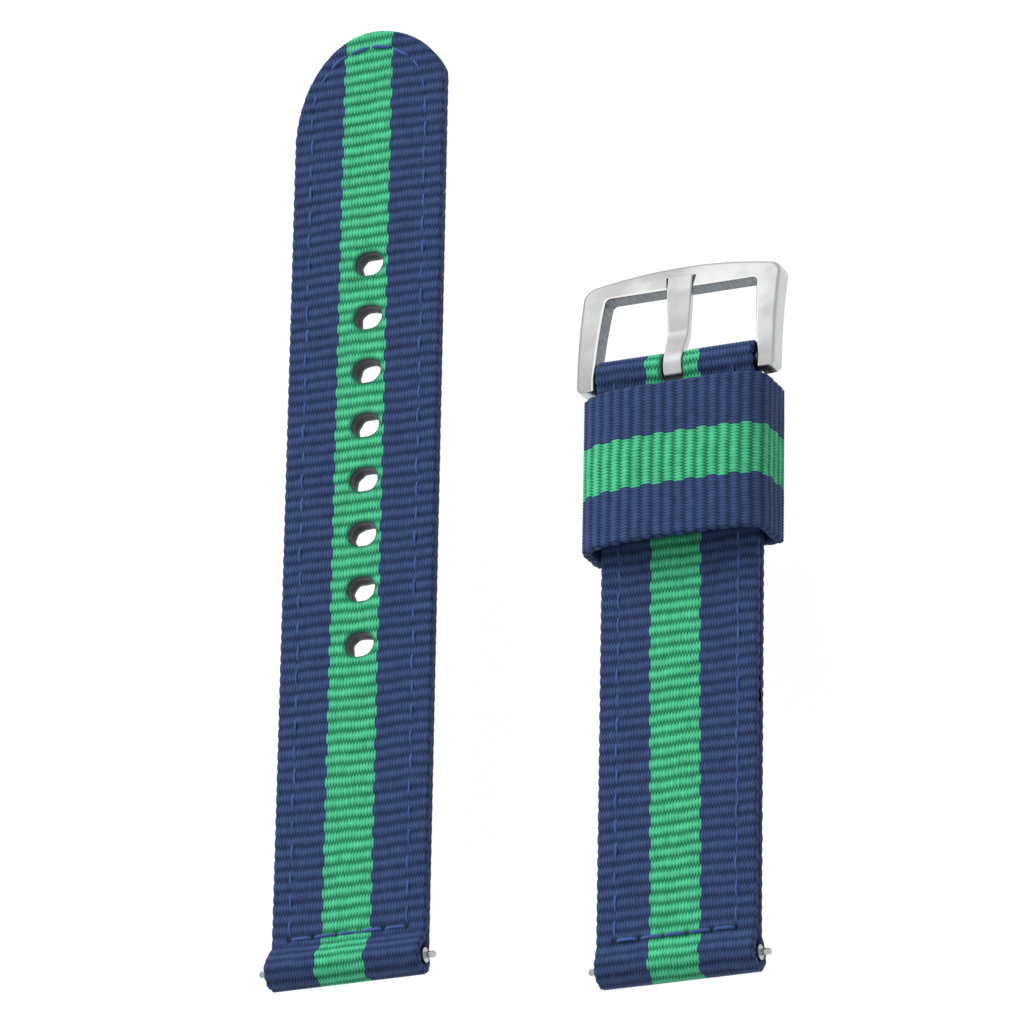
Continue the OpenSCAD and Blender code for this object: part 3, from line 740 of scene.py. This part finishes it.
def hole_liner(name, x, y, seed):
    """The melted wall of an oval hole through both layers, drawn in a little in the lower one."""
    profile = [*HOLE_WALL_LOW, *((off, STRAP_T - depth) for off, depth in HOLE_WALL_HIGH)]
    angles = np.linspace(0, 2 * math.pi, HOLE_SIDES, endpoint=False)
    coarse, fine = HOLE_ROUGH
    rough = coarse * np.sin(3 * angles + seed) + fine * np.sin(7 * angles + 2 * seed)
    verts = []
    for off, z in profile:
        r = HOLE_R + off + rough * (LOWER_ROUGH if z < STRAP_T / 2 else 1)
        px = x + np.where(np.cos(angles) > 0, 1, -1) * HOLE_HALF_GAP + r * np.cos(angles)
        verts += list(np.stack([px, y + r * np.sin(angles), np.full(HOLE_SIDES, z)], axis=1))
    obj = mesh_object(name, verts, ring_quads(len(profile), HOLE_SIDES, flip=True), "long_strap")
    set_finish(obj, "webbing")
    paint(obj, SEALED_MATERIAL)


# Short piece

BAR_Y = SHORT_LEN - LOOP_R
OPEN_Y = BAR_Y - BUCKLE_RAMP
BUCKLE_CROSS_Y = OPEN_Y - STITCH / 2
RISE_END = BUCKLE_CROSS_Y - STITCH / 2
SHORT_KNOTS = {
    side: [
        (LOOP_R, LOOP_R + side * LOOP_MID_R),
        (LOOP_R + SHORT_RAMP, SHORT_MID + side * PLY_OFFSET),
        (RISE_END - RISE_LEN, SHORT_MID + side * PLY_OFFSET),
        (RISE_END, BUCKLE_Z + side * PLY_OFFSET),
        (OPEN_Y, BUCKLE_Z + side * PLY_OFFSET),
        (BAR_Y, BUCKLE_Z + side * LOOP_MID_R),
    ]
    for side in (1, -1)
}
SHORT = Track(np.concatenate([
    layer_points(SHORT_KNOTS[-1], BUTT_Y, LOOP_R),
    arc_points(LOOP_R, LOOP_R, LOOP_MID_R, 270, 90)[1:],
    layer_points(SHORT_KNOTS[1], LOOP_R, BAR_Y)[1:],
    arc_points(BAR_Y, BUCKLE_Z, LOOP_MID_R, 90, -90)[1:],
    layer_points(SHORT_KNOTS[-1], BAR_Y, BUTT_Y)[1:],
])[::-1], PLY)
SLOT_SPAN = (SHORT.s_at(BAR_Y - SLOT_BACK, -1), SHORT.s_at(BAR_Y - SLOT_BACK))


def short_edge(u, s):
    return np.minimum(HALF_W - np.abs(u), np.minimum(s, SHORT.length - s))


def short_cut(u, s):
    """Distance out from the slot that the tongue passes through."""
    du = np.abs(u - SLOT_X) - SLOT_W / 2 + SLOT_CORNER
    ds = np.abs(s - sum(SLOT_SPAN) / 2) - (SLOT_SPAN[1] - SLOT_SPAN[0]) / 2 + SLOT_CORNER
    return np.hypot(np.maximum(du, 0), np.maximum(ds, 0)) + np.minimum(np.maximum(du, ds), 0) - SLOT_CORNER


def short_seam(side):
    def at(u, y):
        return (u, SHORT.s_at(y, side))
    ys = spaced(SHORT_CROSS_Y, BUCKLE_CROSS_Y, STITCH)
    return chain([
        linked([at(-SEAM_X, y) for y in ys]),
        linked([at(SEAM_X, y) for y in ys]),
        row_of(at(-SEAM_X, SHORT_CROSS_Y), at(SEAM_X, SHORT_CROSS_Y)),
        row_of(at(-SEAM_X, BUCKLE_CROSS_Y), at(SEAM_X, BUCKLE_CROSS_Y)),
    ])


def short_across(u, s):
    """Distance from the stripe's middle, measured in stripes as wide as the long piece's."""
    y = np.interp(s, SHORT.s, SHORT.face[:, 0])
    return (u - np.interp(y, STRAY_Y, STRAY_X)) / np.interp(y, WIDENING_Y, WIDENING)


def short_piece():
    place = strap_place(SHORT, SHORT_X, SHORT_Y)
    top, bottom = short_seam(1), short_seam(-1)
    start, end = SHORT.s_at(BAR_Y, -1), SHORT.s_at(LOOP_R, -1)
    # The line starts and ends at the butt joint underneath
    rows = joined((0, start, HIDDEN_ROW_STEP), (start, end, ROW_STEP), (end, SHORT.length, HIDDEN_ROW_STEP))
    sheet = Webbing(place, HALF_W, short_edge, short_cut, top[0] + bottom[0], seed=2.3, across=short_across)
    sheet.outside(rows).inside(spaced(0, SHORT.length, SHORT_INNER_STEP))
    sheet.finish("short_strap_webbing", "short_strap", "short_webbing")
    thread_piece("short_strap_top_thread", "short_strap", "short_top_thread", place, top[1])
    thread_piece(
        "short_strap_bobbin_thread", "short_strap", "short_bobbin_thread", place, bottom[1], BOBBIN_SUNK,
    )
    slot_wall(place)


def slot_wall(place):
    """The melted wall of the tongue's slot."""
    s0, s1 = SLOT_SPAN
    half, c = SLOT_W / 2, SLOT_CORNER
    outline = []
    corners = (
        (half - c, s1 - c, 0), (c - half, s1 - c, 90), (c - half, s0 + c, 180), (half - c, s0 + c, 270),
    )
    for u, s, first in corners:
        for a in np.radians(first + np.linspace(0, 90, QUARTER_POINTS)):
            outline.append((u + c * math.cos(a), s + c * math.sin(a), math.cos(a), math.sin(a)))
        # The slot's long sides follow its second and fourth corners
        if first in (90, 270):
            side, end = (-1.0, s0 + c) if first == 90 else (1.0, s1 - c)
            outline += [(side * half, middle, side, 0.0) for middle in spaced(s, end, SLOT_STEP)[1:-1]]
    u, s, nu, ns = np.array(outline).T
    verts = np.concatenate([
        place(SLOT_X + u + nu * off, s + ns * off, np.full(len(u), depth)) for off, depth in SLOT_WALL
    ])
    obj = mesh_object("short_strap_slot_wall", verts, ring_quads(len(SLOT_WALL), len(u)), "short_strap")
    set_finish(obj, "webbing")
    paint(obj, SEALED_MATERIAL)


# Keeper

def keeper_outline():
    """Outer face of the keeper in end view, from the middle of its foot and on round its right side."""
    low, high = (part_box("keeper_webbing")[i][2] / MM for i in (0, 1))
    half = (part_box("keeper_webbing")[1][0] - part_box("keeper_webbing")[0][0]) / 2 / MM
    t = np.radians(np.linspace(-90, 270, KEEPER_POINTS))
    c, s = np.cos(t), np.sin(t)
    top_power = np.where(c < 0, 2 / KEEPER_LEFT_POWER, 2 / KEEPER_RIGHT_POWER)
    power = np.where(s >= 0, top_power, 2 / KEEPER_FOOT_POWER)
    reach = np.where(s >= 0, high - KEEPER_WAIST, KEEPER_WAIST - low)
    return np.stack([
        half * np.sign(c) * np.abs(c) ** power,
        KEEPER_WAIST + reach * np.sign(s) * np.abs(s) ** power,
    ], axis=1)


def keeper():
    track = Track(keeper_outline())
    box_low, box_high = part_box("keeper_webbing")
    half = (box_high[1] - box_low[1]) / 2 / MM
    middle_y = (box_high[1] + box_low[1]) / 2 / MM
    gap = KEEPER_SEAM_GAP / 2

    def place(u, s, depth):
        x, z = track.at(s, depth)
        return np.stack([SHORT_X + x, middle_y + u, z], axis=1)

    def edge(u, s):
        return np.minimum(half - np.abs(u), np.minimum(s, track.length - s) - gap)

    reach = half - KEEPER_ZIGZAG_MARGIN
    turns = np.linspace(-reach, reach, KEEPER_ZIGZAGS + 1)
    ends = [(u, KEEPER_ZIGZAG_REACH * (1 if i % 2 else -1)) for i, u in enumerate(turns)]
    _, zigzag = linked(ends)
    sheet = Webbing(place, half, edge, seed=4.1)
    rows = spaced(gap, track.length - gap, ROW_STEP)
    sheet.outside(rows).inside(spaced(gap, track.length - gap, KEEPER_INNER_STEP))
    sheet.finish("keeper_loop_webbing", "keeper", "keeper_webbing")
    thread_piece("keeper_zigzag_thread", "keeper", "keeper_seam_thread", place, zigzag, BOBBIN_SUNK)


# Buckle

ARM_OUT = (high_mm("buckle_frame")[0] - low_mm("buckle_frame")[0]) / 2
ARM_IN = ARM_OUT - ARM_W
ARCH_Y = -ARCH_R * math.sin(math.radians(FRAME_DROOP))
ARCH_Z = -ARCH_R * math.cos(math.radians(FRAME_DROOP))
FRAME_LEN = WINDOW_LEN + CROSS_W
BULGE_R = (ARM_OUT ** 2 + CROSS_BULGE ** 2) / (2 * CROSS_BULGE)
BULGE_Y = FRAME_LEN - BULGE_R
CORNER_X = ARM_OUT - OUTER_CORNER
CORNER_Y = BULGE_Y + math.sqrt((BULGE_R - OUTER_CORNER) ** 2 - CORNER_X ** 2)
BULGE_TURN = math.atan2(CORNER_Y - BULGE_Y, CORNER_X)
TONGUE_X = SLOT_X
NOTCH_HALF = TONGUE_TIP_W / 2 + NOTCH_CLEAR
NOTCH_END = TONGUE_LEN + NOTCH_END_CLEAR


def arch_height(y, h):
    """Height over the bar's axis of a point h above the middle of the arched plate."""
    return ARCH_Z + np.sqrt((ARCH_R + h) ** 2 - (y - ARCH_Y) ** 2)


def beside(point, degrees):
    """A support on the flat face beside a bevel's end, which keeps the face's shading flat."""
    w, h, wall = point
    angle = math.radians(degrees)
    return w + SUPPORT * math.cos(angle), h + SUPPORT * math.sin(angle), wall


def ring_section(width, half, bevels, shrink, notch_at, notch_drop):
    """Outline of a bar's cut: points (w, h), with w from 0 on the window side to width on the outer side, and
    how much each is wall, up to 1 at the window and down to -1 outside. bevels are at the window and outside.
    The top may lie lower from w = 0 to notch_at."""
    points = []
    room = (width / 2 / BEVEL_ROOM, half / BEVEL_ROOM)
    inner, outer = (max(min(bevel, *room) - shrink, LEAST_BEVEL) for bevel in bevels)
    corners = [(shrink + inner, inner, -1, 180), (width - shrink - outer, outer, -1, 270),
               (width - shrink - outer, outer, 1, 0), (shrink + inner, inner, 1, 90)]
    for i, (w, r, up, first) in enumerate(corners):
        h = up * (half - shrink - r)
        drop = notch_drop if i == 3 else 0.0
        if i == 3:
            top = half - shrink
            points += [(notch_at + NOTCH_WALL, top, 0.0), (notch_at - NOTCH_WALL, top - notch_drop, 0.0)]
        share = WINDOW_WALL if i in (0, 3) else OUTER_WALL
        arc = [
            (w + r * math.cos(a), h + r * math.sin(a) - drop, share * math.cos(a) ** 2)
            for a in np.radians(first + np.linspace(0, 90, QUARTER_POINTS))
        ]
        points += [beside(arc[0], first - 90), *arc, beside(arc[-1], first + 180)]
    return points


def bevel_steps(bevel):
    """Cuts that round off a bar's end: how far each lies along the bar, and how much smaller it is."""
    return [(bevel * (1 - math.cos(a)), bevel * (1 - math.sin(a))) for a in np.radians([0, 30, 60])]


def frame_stations():
    """Pairs of points (window side, outer side) round the frame from the right arm's end to the left's, with
    the inset of the cut and the drop of its top there."""
    inner_top = WINDOW_LEN - WINDOW_CORNER

    def arm(y):
        tail = max(TAIL_CORNER - ARM_TAIL - y, 0)
        outer = ARM_OUT - TAIL_CORNER + math.sqrt(max(TAIL_CORNER ** 2 - tail ** 2, 0))
        inner = ARM_IN - ARM_FLARE * max(y, 0) / inner_top
        return (inner, min(y, inner_top)), (outer, y)

    right = [arm(-ARM_TAIL + along) + (inset, 0.0) for along, inset in bevel_steps(BEVEL)]
    for t in np.linspace(0, 1, ARM_CUTS):
        y_out = -ARM_TAIL + BEVEL + (CORNER_Y + ARM_TAIL - BEVEL) * t
        y_in = -ARM_TAIL + BEVEL + (inner_top + ARM_TAIL - BEVEL) * t
        right.append((arm(y_in)[0], arm(y_out)[1], 0.0, 0.0))
    round_x = ARM_IN - ARM_FLARE - WINDOW_CORNER
    for t in np.linspace(0, 1, CORNER_CUTS)[1:]:
        a, b = t * BULGE_TURN, t * math.pi / 2
        right.append((
            (round_x + WINDOW_CORNER * math.cos(b), inner_top + WINDOW_CORNER * math.sin(b)),
            (CORNER_X + OUTER_CORNER * math.cos(a), CORNER_Y + OUTER_CORNER * math.sin(a)), 0.0, 0.0,
        ))
    sides = [(TONGUE_X + s * NOTCH_HALF) / round_x for s in (1, -1)]
    notch = {f + d for f in sides for d in (NOTCH_SIDE, -NOTCH_SIDE)}
    cross = []
    for f in sorted(notch.union(np.linspace(-1, 1, CROSS_CUTS)[1:-1]), reverse=True):
        a = math.pi / 2 + (BULGE_TURN - math.pi / 2) * f
        outer = (BULGE_R * math.cos(a), BULGE_Y + BULGE_R * math.sin(a))
        drop = NOTCH_DEPTH if sides[1] < f < sides[0] else 0.0
        cross.append(((round_x * f, WINDOW_LEN), outer, 0.0, drop))
    left = [((-i[0], i[1]), (-o[0], o[1]), shrink, drop) for i, o, shrink, drop in reversed(right)]
    return right + cross + left


def swept(name, body, rings, walls):
    """A closed bar through equal rings of points, with a flat cap at each end."""
    size = len(rings[0])
    verts = [p for ring in rings for p in ring]
    faces = ring_quads(len(rings), size, flip=True)
    faces.append(tuple(range(size)))
    faces.append(tuple(range(len(verts) - size, len(verts)))[::-1])
    obj = mesh_object(name, verts, faces, body, wall=[w for ring in walls for w in ring])
    outward = bmesh.new()
    outward.from_mesh(obj.data)
    bmesh.ops.recalc_face_normals(outward, faces=outward.faces)
    outward.to_mesh(obj.data)
    outward.free()
    obj.data.set_sharp_from_angle(angle=math.radians(SHARP_ANGLE))
    return obj


def buckle_frame():
    rings, walls = [], []
    half = FRAME_T / 2
    for (xi, yi), (xo, yo), shrink, drop in frame_stations():
        width = math.hypot(xo - xi, yo - yi)
        # The top is split where the notch ends
        share = (NOTCH_END - yi) / (yo - yi) if drop or yo - yi > CROSS_LEAN else 0.5
        split = width * min(max(share, SPLIT_LEAST), SPLIT_MOST)
        cut = ring_section(width, half, (BEVEL, OUTER_BEVEL), shrink, split, drop)
        ring = []
        for w, h, _ in cut:
            x, y = xi + (xo - xi) * w / width, yi + (yo - yi) * w / width
            ring.append((SHORT_X + x, SHORT_Y + BAR_Y + y, BUCKLE_Z + arch_height(y, h)))
        rings.append(ring)
        walls.append([wall for _, _, wall in cut])
    # The right arm's end face is dark in the photo and is painted with shade, and the left one's is as light
    # as the outer walls
    walls[0], walls[-1] = [DARK_END] * len(walls[0]), [OUTER_WALL] * len(walls[-1])
    obj = swept("buckle_frame_polished", "buckle", rings, walls)
    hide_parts("buckle_frame")
    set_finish(obj, "buckle_steel")


def buckle_tongue():
    notch_floor = arch_height(WINDOW_LEN + CROSS_W / 2, FRAME_T / 2) - NOTCH_DEPTH
    tip_z = notch_floor + NOTCH_FLOOR_CLEAR + TONGUE_T / 2
    curl_r = BARREL_OUT - TONGUE_T / 2
    knots = [
        (0, curl_r), (TONGUE_DROP_LEN, tip_z + TONGUE_HUMP + TONGUE_SLOPE),
        (TONGUE_BEND, tip_z + TONGUE_HUMP), (TONGUE_LEN + TONGUE_PAST_TIP, tip_z - TONGUE_SLOPE),
    ]
    strip, curl = layer_points(knots, TONGUE_LEN, 0), arc_points(0, 0, curl_r, 90, CURL_END)[1:]
    track = Track(np.concatenate([strip, curl]), TONGUE_T)
    r = TONGUE_BEVEL
    ends = bevel_steps(r)
    stations = ends + [(s, 0.0) for s in spaced(r, track.length - r, TONGUE_CUT_STEP)]
    stations += [(track.length - run, shrink) for run, shrink in reversed(ends)]
    rings, walls = [], []
    for s, shrink in stations:
        width = TONGUE_ROOT_W
        if s < track.s_at(CURL_Y):
            y, _ = track.at(s, 0.0)
            width = float(np.interp(y, (BARREL_OUT, TONGUE_WIDE_Y), (TONGUE_ROOT_W, TONGUE_TIP_W)))
        cut = ring_section(width, TONGUE_T / 2, (r, r), shrink, width / 2, 0.0)
        ring = []
        for w, h, _ in cut:
            py, pz = track.at(s, TONGUE_T / 2 - h)
            ring.append((SHORT_X + TONGUE_X + w - width / 2, SHORT_Y + BAR_Y + py, BUCKLE_Z + pz))
        rings.append(ring)
        walls.append([wall for _, _, wall in cut])
    obj = swept("buckle_tongue_polished", "tongue", rings, walls)
    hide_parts("buckle_tongue")
    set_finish(obj, "buckle_steel")


# Materials

class Shader:
    """Short calls for a material's nodes. Inputs are numbers, colours or other nodes' sockets."""

    def __init__(self, name, tree=None):
        if tree is None:
            self.material = bpy.data.materials.new(name)
            self.material.use_nodes = True
            tree = self.material.node_tree
        self.tree = tree
        tree.nodes.clear()

    def add(self, kind, inputs=None, **settings):
        node = self.tree.nodes.new(kind)
        for key, value in settings.items():
            setattr(node, key, value)
        for key, value in (inputs or {}).items():
            self.put(node.inputs[key], value)
        return node

    def put(self, socket, value):
        if isinstance(value, bpy.types.NodeSocket):
            self.tree.links.new(value, socket)
        elif isinstance(value, tuple) and len(value) == 3 and socket.type == "RGBA":
            socket.default_value = (*value, 1.0)
        else:
            socket.default_value = value

    def math(self, operation, a, b=0.0):
        return self.add("ShaderNodeMath", {0: a, 1: b}, operation=operation).outputs[0]

    def times(self, a, b):
        return self.math("MULTIPLY", a, b)

    def plus(self, a, b):
        return self.math("ADD", a, b)

    def smooth(self, value, low, high, start=0.0, end=1.0):
        """start below low, end above high and a smooth step between."""
        inputs = {"Value": value, "From Min": low, "From Max": high, "To Min": start, "To Max": end}
        return self.add("ShaderNodeMapRange", inputs, interpolation_type="SMOOTHSTEP").outputs["Result"]

    def mix(self, factor, a, b, blend="MIX"):
        node = self.add("ShaderNodeMix", data_type="RGBA", blend_type=blend, clamp_factor=True)
        for key, value in ((0, factor), (6, a), (7, b)):
            self.put(node.inputs[key], value)
        return node.outputs[2]

    def vector(self, x, y, z=0.0):
        return self.add("ShaderNodeCombineXYZ", {0: x, 1: y, 2: z}).outputs[0]

    def noise(self, vector, scale, detail=2.0, rough=0.5):
        inputs = {"Vector": vector, "Scale": scale, "Detail": detail, "Roughness": rough}
        return self.add("ShaderNodeTexNoise", inputs).outputs["Fac"]

    def attribute(self, name):
        return self.add("ShaderNodeAttribute", attribute_name=name)

    def bump(self, height, distance, strength=1.0):
        inputs = {"Height": height, "Distance": distance, "Strength": strength}
        return self.add("ShaderNodeBump", inputs).outputs["Normal"]

    def surface(self, inputs):
        shader = self.add("ShaderNodeBsdfPrincipled", inputs)
        out = self.add("ShaderNodeOutputMaterial")
        self.tree.links.new(shader.outputs[0], out.inputs["Surface"])
        return self.material

    def object_coordinates(self):
        return self.add("ShaderNodeTexCoord").outputs["Object"]

    def stretched(self, scale):
        """Object coordinates times scale."""
        return self.add("ShaderNodeMapping", {"Vector": self.object_coordinates(), "Scale": scale}).outputs[0]

    def seen(self):
        """1 for what the camera, metal and glass see, and 0 for other light."""
        path = self.add("ShaderNodeLightPath").outputs
        mirrored = self.math("MAXIMUM", path["Is Camera Ray"], path["Is Glossy Ray"])
        return self.math("MAXIMUM", mirrored, path["Is Transmission Ray"])


def webbing_material():
    """Nylon webbing: two colours of warp, with painted shade where ribs meet and between yarns, each yarn
    with its own tone.
    """
    s = Shader("nylon_webbing")
    parts = s.add("ShaderNodeSeparateXYZ", {0: s.attribute("weave").outputs["Vector"]}).outputs
    u, v, height = parts[0], parts[1], parts[2]
    # Yarns at the stripe's border surface on every other rib, which scallops it
    swing = s.math("SINE", s.times(v, math.pi))
    swing = s.math("MAXIMUM", s.math("MINIMUM", s.times(swing, 3.0), 1.0), -1.0)
    border = s.plus(s.times(swing, STRIPE_SWING), STRIPE_W / 2)
    beyond = s.math("SUBTRACT", s.math("ABSOLUTE", u), border)
    stripe = s.smooth(beyond, -0.05, 0.05, 1.0, 0.0)
    lit = s.mix(stripe, NAVY, GREEN)
    # Painted shade: the lower the weave, the more of the deep colour, which darkens the valleys between ribs
    # and yarns
    deep = s.mix(stripe, NAVY_VALLEY_SHADE, GREEN_VALLEY_SHADE)
    colour = s.mix(s.smooth(height, 0.1, 0.92), deep, lit)
    yarn, patch, filament = (
        s.noise(s.vector(s.times(u, by_u), s.times(v, by_v)), 1.0)
        for by_u, by_v in (YARNS, PATCHES, FILAMENTS)
    )
    tone = s.plus(s.times(yarn, 0.7), s.times(patch, 0.5))
    colour = s.mix(1.0, colour, s.vector(*[s.plus(tone, 0.4)] * 3), "MULTIPLY")
    seal = s.attribute("seal").outputs["Fac"]
    # Melted lips take the sealed colour, and needle holes take it too as painted shade
    colour = s.mix(s.times(seal, 0.8), colour, s.mix(stripe, SEALED, SEALED_GREEN))
    return s.surface({
        "Base Color": colour,
        "Roughness": s.plus(s.times(filament, 0.25), NYLON_ROUGH),
        "Normal": s.bump(filament, NYLON_BUMP, 0.7),
        "Specular IOR Level": NYLON_SPECULAR,
    })


def sealed_material():
    """Nylon melted by a hot punch: dark, smooth and faintly wavy."""
    s = Shader("nylon_melted")
    flow = s.noise(s.object_coordinates(), MELTED_SCALE, 3.0)
    return s.surface({
        "Base Color": s.mix(s.smooth(flow, 0.35, 0.7), SEALED, SEALED_PALE),
        "Roughness": s.plus(s.times(flow, 0.3), MELTED_ROUGH),
        "Normal": s.bump(flow, MELTED_BUMP, 0.6),
    })


def thread_material():
    """Blue thread, paler where it is worn and as dark as the webbing at each stitch's ends."""
    s = Shader("sewing_thread")
    run = s.attribute("run").outputs["Fac"]
    fine = s.noise(s.object_coordinates(), FIBRE_SCALE, 2.0)
    worn = s.noise(s.object_coordinates(), WORN_SCALE, 1.0)
    ends = s.smooth(s.math("ABSOLUTE", s.math("SUBTRACT", run, STITCH / 2)), 1.0, 1.6)
    colour = s.mix(worn, THREAD, THREAD_PALE)
    return s.surface({
        "Base Color": s.mix(ends, colour, NAVY),
        "Roughness": s.plus(s.times(fine, 0.2), THREAD_ROUGH),
        "Normal": s.bump(fine, THREAD_BUMP, 0.6),
        "Specular IOR Level": THREAD_SPECULAR,
    })


def steel_material(name, rough, brushed, walls=False, plain=STEEL):
    """Stainless steel: fine brush lines along X, faint smears, rougher walls, and painted shade and
    highlights on walls, rims, sides and ends.
    """
    s = Shader(name)
    brush = s.noise(s.stretched(brushed), 1.0, 3.0, 0.6)
    smear = s.noise(s.object_coordinates(), SMEAR_SCALE, 4.0)
    smeared = tuple(channel * SMEAR for channel in plain)
    colour = s.mix(s.smooth(smear, 0.35, 0.62), plain, smeared)
    roughness = s.plus(s.times(smear, 0.12), rough)
    if walls:
        wall = s.attribute("wall").outputs["Fac"]
        # Painted shade on the window walls, streaked; the walls are also rougher
        streaks = s.noise(s.stretched(WALL_STREAKS), 1.0, 3.0, 0.6)
        wall_shade = s.mix(s.smooth(streaks, 0.3, 0.7), STEEL_WALL_SHADE, STEEL_WALL_SHADE_PALE)
        # Painted highlight: a bright line on the bevels between the faces and the window walls
        edge = s.times(s.smooth(wall, 0.0, 0.04), s.smooth(wall, 0.45, 0.7, 1.0, 0.0))
        colour = s.mix(edge, colour, STEEL_EDGE_HIGHLIGHT)
        colour = s.mix(s.smooth(wall, 0.55, 0.9), colour, wall_shade)
        # Painted shade on the right arm's end face
        colour = s.mix(s.smooth(wall, 1.2, 1.6), colour, STEEL_END_SHADE)
        # Painted shade: a dark line where the faces turn down to the outer walls
        colour = s.mix(s.smooth(wall, -0.12, -0.02, 1.0, 0.0), colour, STEEL_RIM_SHADE)
        # Painted shade: the outer walls and the left arm's end face are a little darker than the faces
        colour = s.mix(s.smooth(wall, -0.8, -0.3, 1.0, 0.0), colour, STEEL_SIDE_SHADE)
        roughness = s.plus(s.times(s.math("MAXIMUM", wall, 0.0), 0.12), roughness)
    return s.surface({
        "Base Color": colour,
        "Metallic": 1.0,
        "Roughness": roughness,
        "Normal": s.bump(brush, STEEL_BUMP, 0.6),
    })


def floor_material():
    """A pale floor that the camera, metal and glass see as white, with a trace of shadow."""
    s = Shader("floor_white")
    plain = s.add("ShaderNodeBsdfDiffuse", {"Color": FLOOR_PLAIN}).outputs[0]
    shadowed = s.add("ShaderNodeBsdfDiffuse", {"Color": FLOOR_SHADOWED}).outputs[0]
    glow = s.add("ShaderNodeEmission", {"Color": WHITE, "Strength": FLOOR_GLOW}).outputs[0]
    bright = s.add("ShaderNodeAddShader", {0: glow, 1: shadowed}).outputs[0]
    mixed = s.add("ShaderNodeMixShader", {0: s.seen(), 1: plain, 2: bright}).outputs[0]
    s.add("ShaderNodeOutputMaterial", {"Surface": mixed})
    return s.material


def world():
    """White to the camera, metal and glass. Else a soft sky, brightest above, left and behind."""
    made = bpy.data.worlds.new("soft_sky")
    made.use_nodes = True
    s = Shader("", made.node_tree)
    direction = s.add("ShaderNodeTexCoord").outputs["Generated"]
    toward = s.add("ShaderNodeVectorMath", {0: direction, 1: SKY_BRIGHT_SIDE}, operation="DOT_PRODUCT")
    level = s.smooth(toward.outputs["Value"], *SKY_SPREAD, SKY_LOW, SKY_HIGH)
    sky = s.add("ShaderNodeBackground", {"Color": WHITE, "Strength": level}).outputs[0]
    white = s.add("ShaderNodeBackground", {"Color": WHITE, "Strength": 1.0}).outputs[0]
    mixed = s.add("ShaderNodeMixShader", {0: s.seen(), 1: sky, 2: white}).outputs[0]
    s.add("ShaderNodeOutputWorld", {"Surface": mixed})
    bpy.context.scene.world = made


def paint(obj, material):
    """Gives every slot of obj the material."""
    if not obj.material_slots:
        obj.data.materials.append(material)
    for place in obj.material_slots:
        place.link = "OBJECT"
        place.material = material


SEALED_MATERIAL = sealed_material()


# Scene

def camera():
    right, down, forward = (Vector(v) for v in (CAMERA_RIGHT, CAMERA_DOWN, CAMERA_FORWARD))
    data = bpy.data.cameras.new("photo_camera")
    data.sensor_width = SENSOR_MM
    data.lens = LENS_MM
    data.clip_start, data.clip_end = 0.01, 20.0
    data.dof.use_dof = False
    obj = bpy.data.objects.new("photo_camera", data)
    axes = Matrix((right, -down, -forward)).transposed().to_4x4()
    obj.matrix_world = Matrix.Translation(Vector(CAMERA_MM) * MM) @ axes
    bpy.context.scene.collection.objects.link(obj)
    bpy.context.scene.camera = obj


def lamp(name, place, power, size, glossy=True):
    data = bpy.data.lights.new(name, "AREA")
    data.shape = "DISK"
    data.energy, data.size = power, size
    obj = bpy.data.objects.new(name, data)
    obj.location = place
    obj.rotation_euler = (-Vector(place)).to_track_quat("-Z", "Y").to_euler()
    obj.visible_glossy = glossy
    bpy.context.scene.collection.objects.link(obj)


def floor():
    """A floor low enough for the buckle to swing down to its limit."""
    mesh = bpy.data.meshes.new("floor")
    corners = ((-1, -1), (1, -1), (1, 1), (-1, 1))
    mesh.from_pydata([(FLOOR_REACH * x, FLOOR_REACH * y, FLOOR_Z) for x, y in corners], [], [(0, 1, 2, 3)])
    obj = bpy.data.objects.new("floor", mesh)
    bpy.context.scene.collection.objects.link(obj)
    paint(obj, floor_material())


def finishes():
    """Gives each piece its material by its slot in the record."""
    materials = {
        "webbing": webbing_material(),
        "thread": thread_material(),
        "buckle_steel": steel_material("steel_buckle", FRAME_ROUGH, FRAME_BRUSH, walls=True),
        "bar_steel": steel_material("steel_bar", BAR_ROUGH, BAR_BRUSH, plain=BAR_STEEL),
        "spring_wire": steel_material("steel_wire", WIRE_ROUGH, WIRE_BRUSH, plain=BAR_STEEL),
    }
    for obj in list(bpy.context.scene.objects):
        if obj.type == "MESH" and obj.get("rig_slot") in materials and not obj.material_slots:
            paint(obj, materials[obj["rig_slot"]])
    for name, node in frame["nodes"].items():
        if not node.hide_render:
            paint(node, materials["spring_wire" if name.endswith("spring") else "bar_steel"])


bpy.context.scene.view_settings.view_transform = "Standard"
camera()
world()
# The key lamp would whiten flat steel over the white that it already shows
lamp("key_light", KEY_PLACE, KEY_POWER, KEY_SIZE, glossy=False)
lamp("back_light", BACK_PLACE, BACK_POWER, BACK_SIZE)
floor()
long_piece()
short_piece()
keeper()
buckle_frame()
buckle_tongue()
finishes()
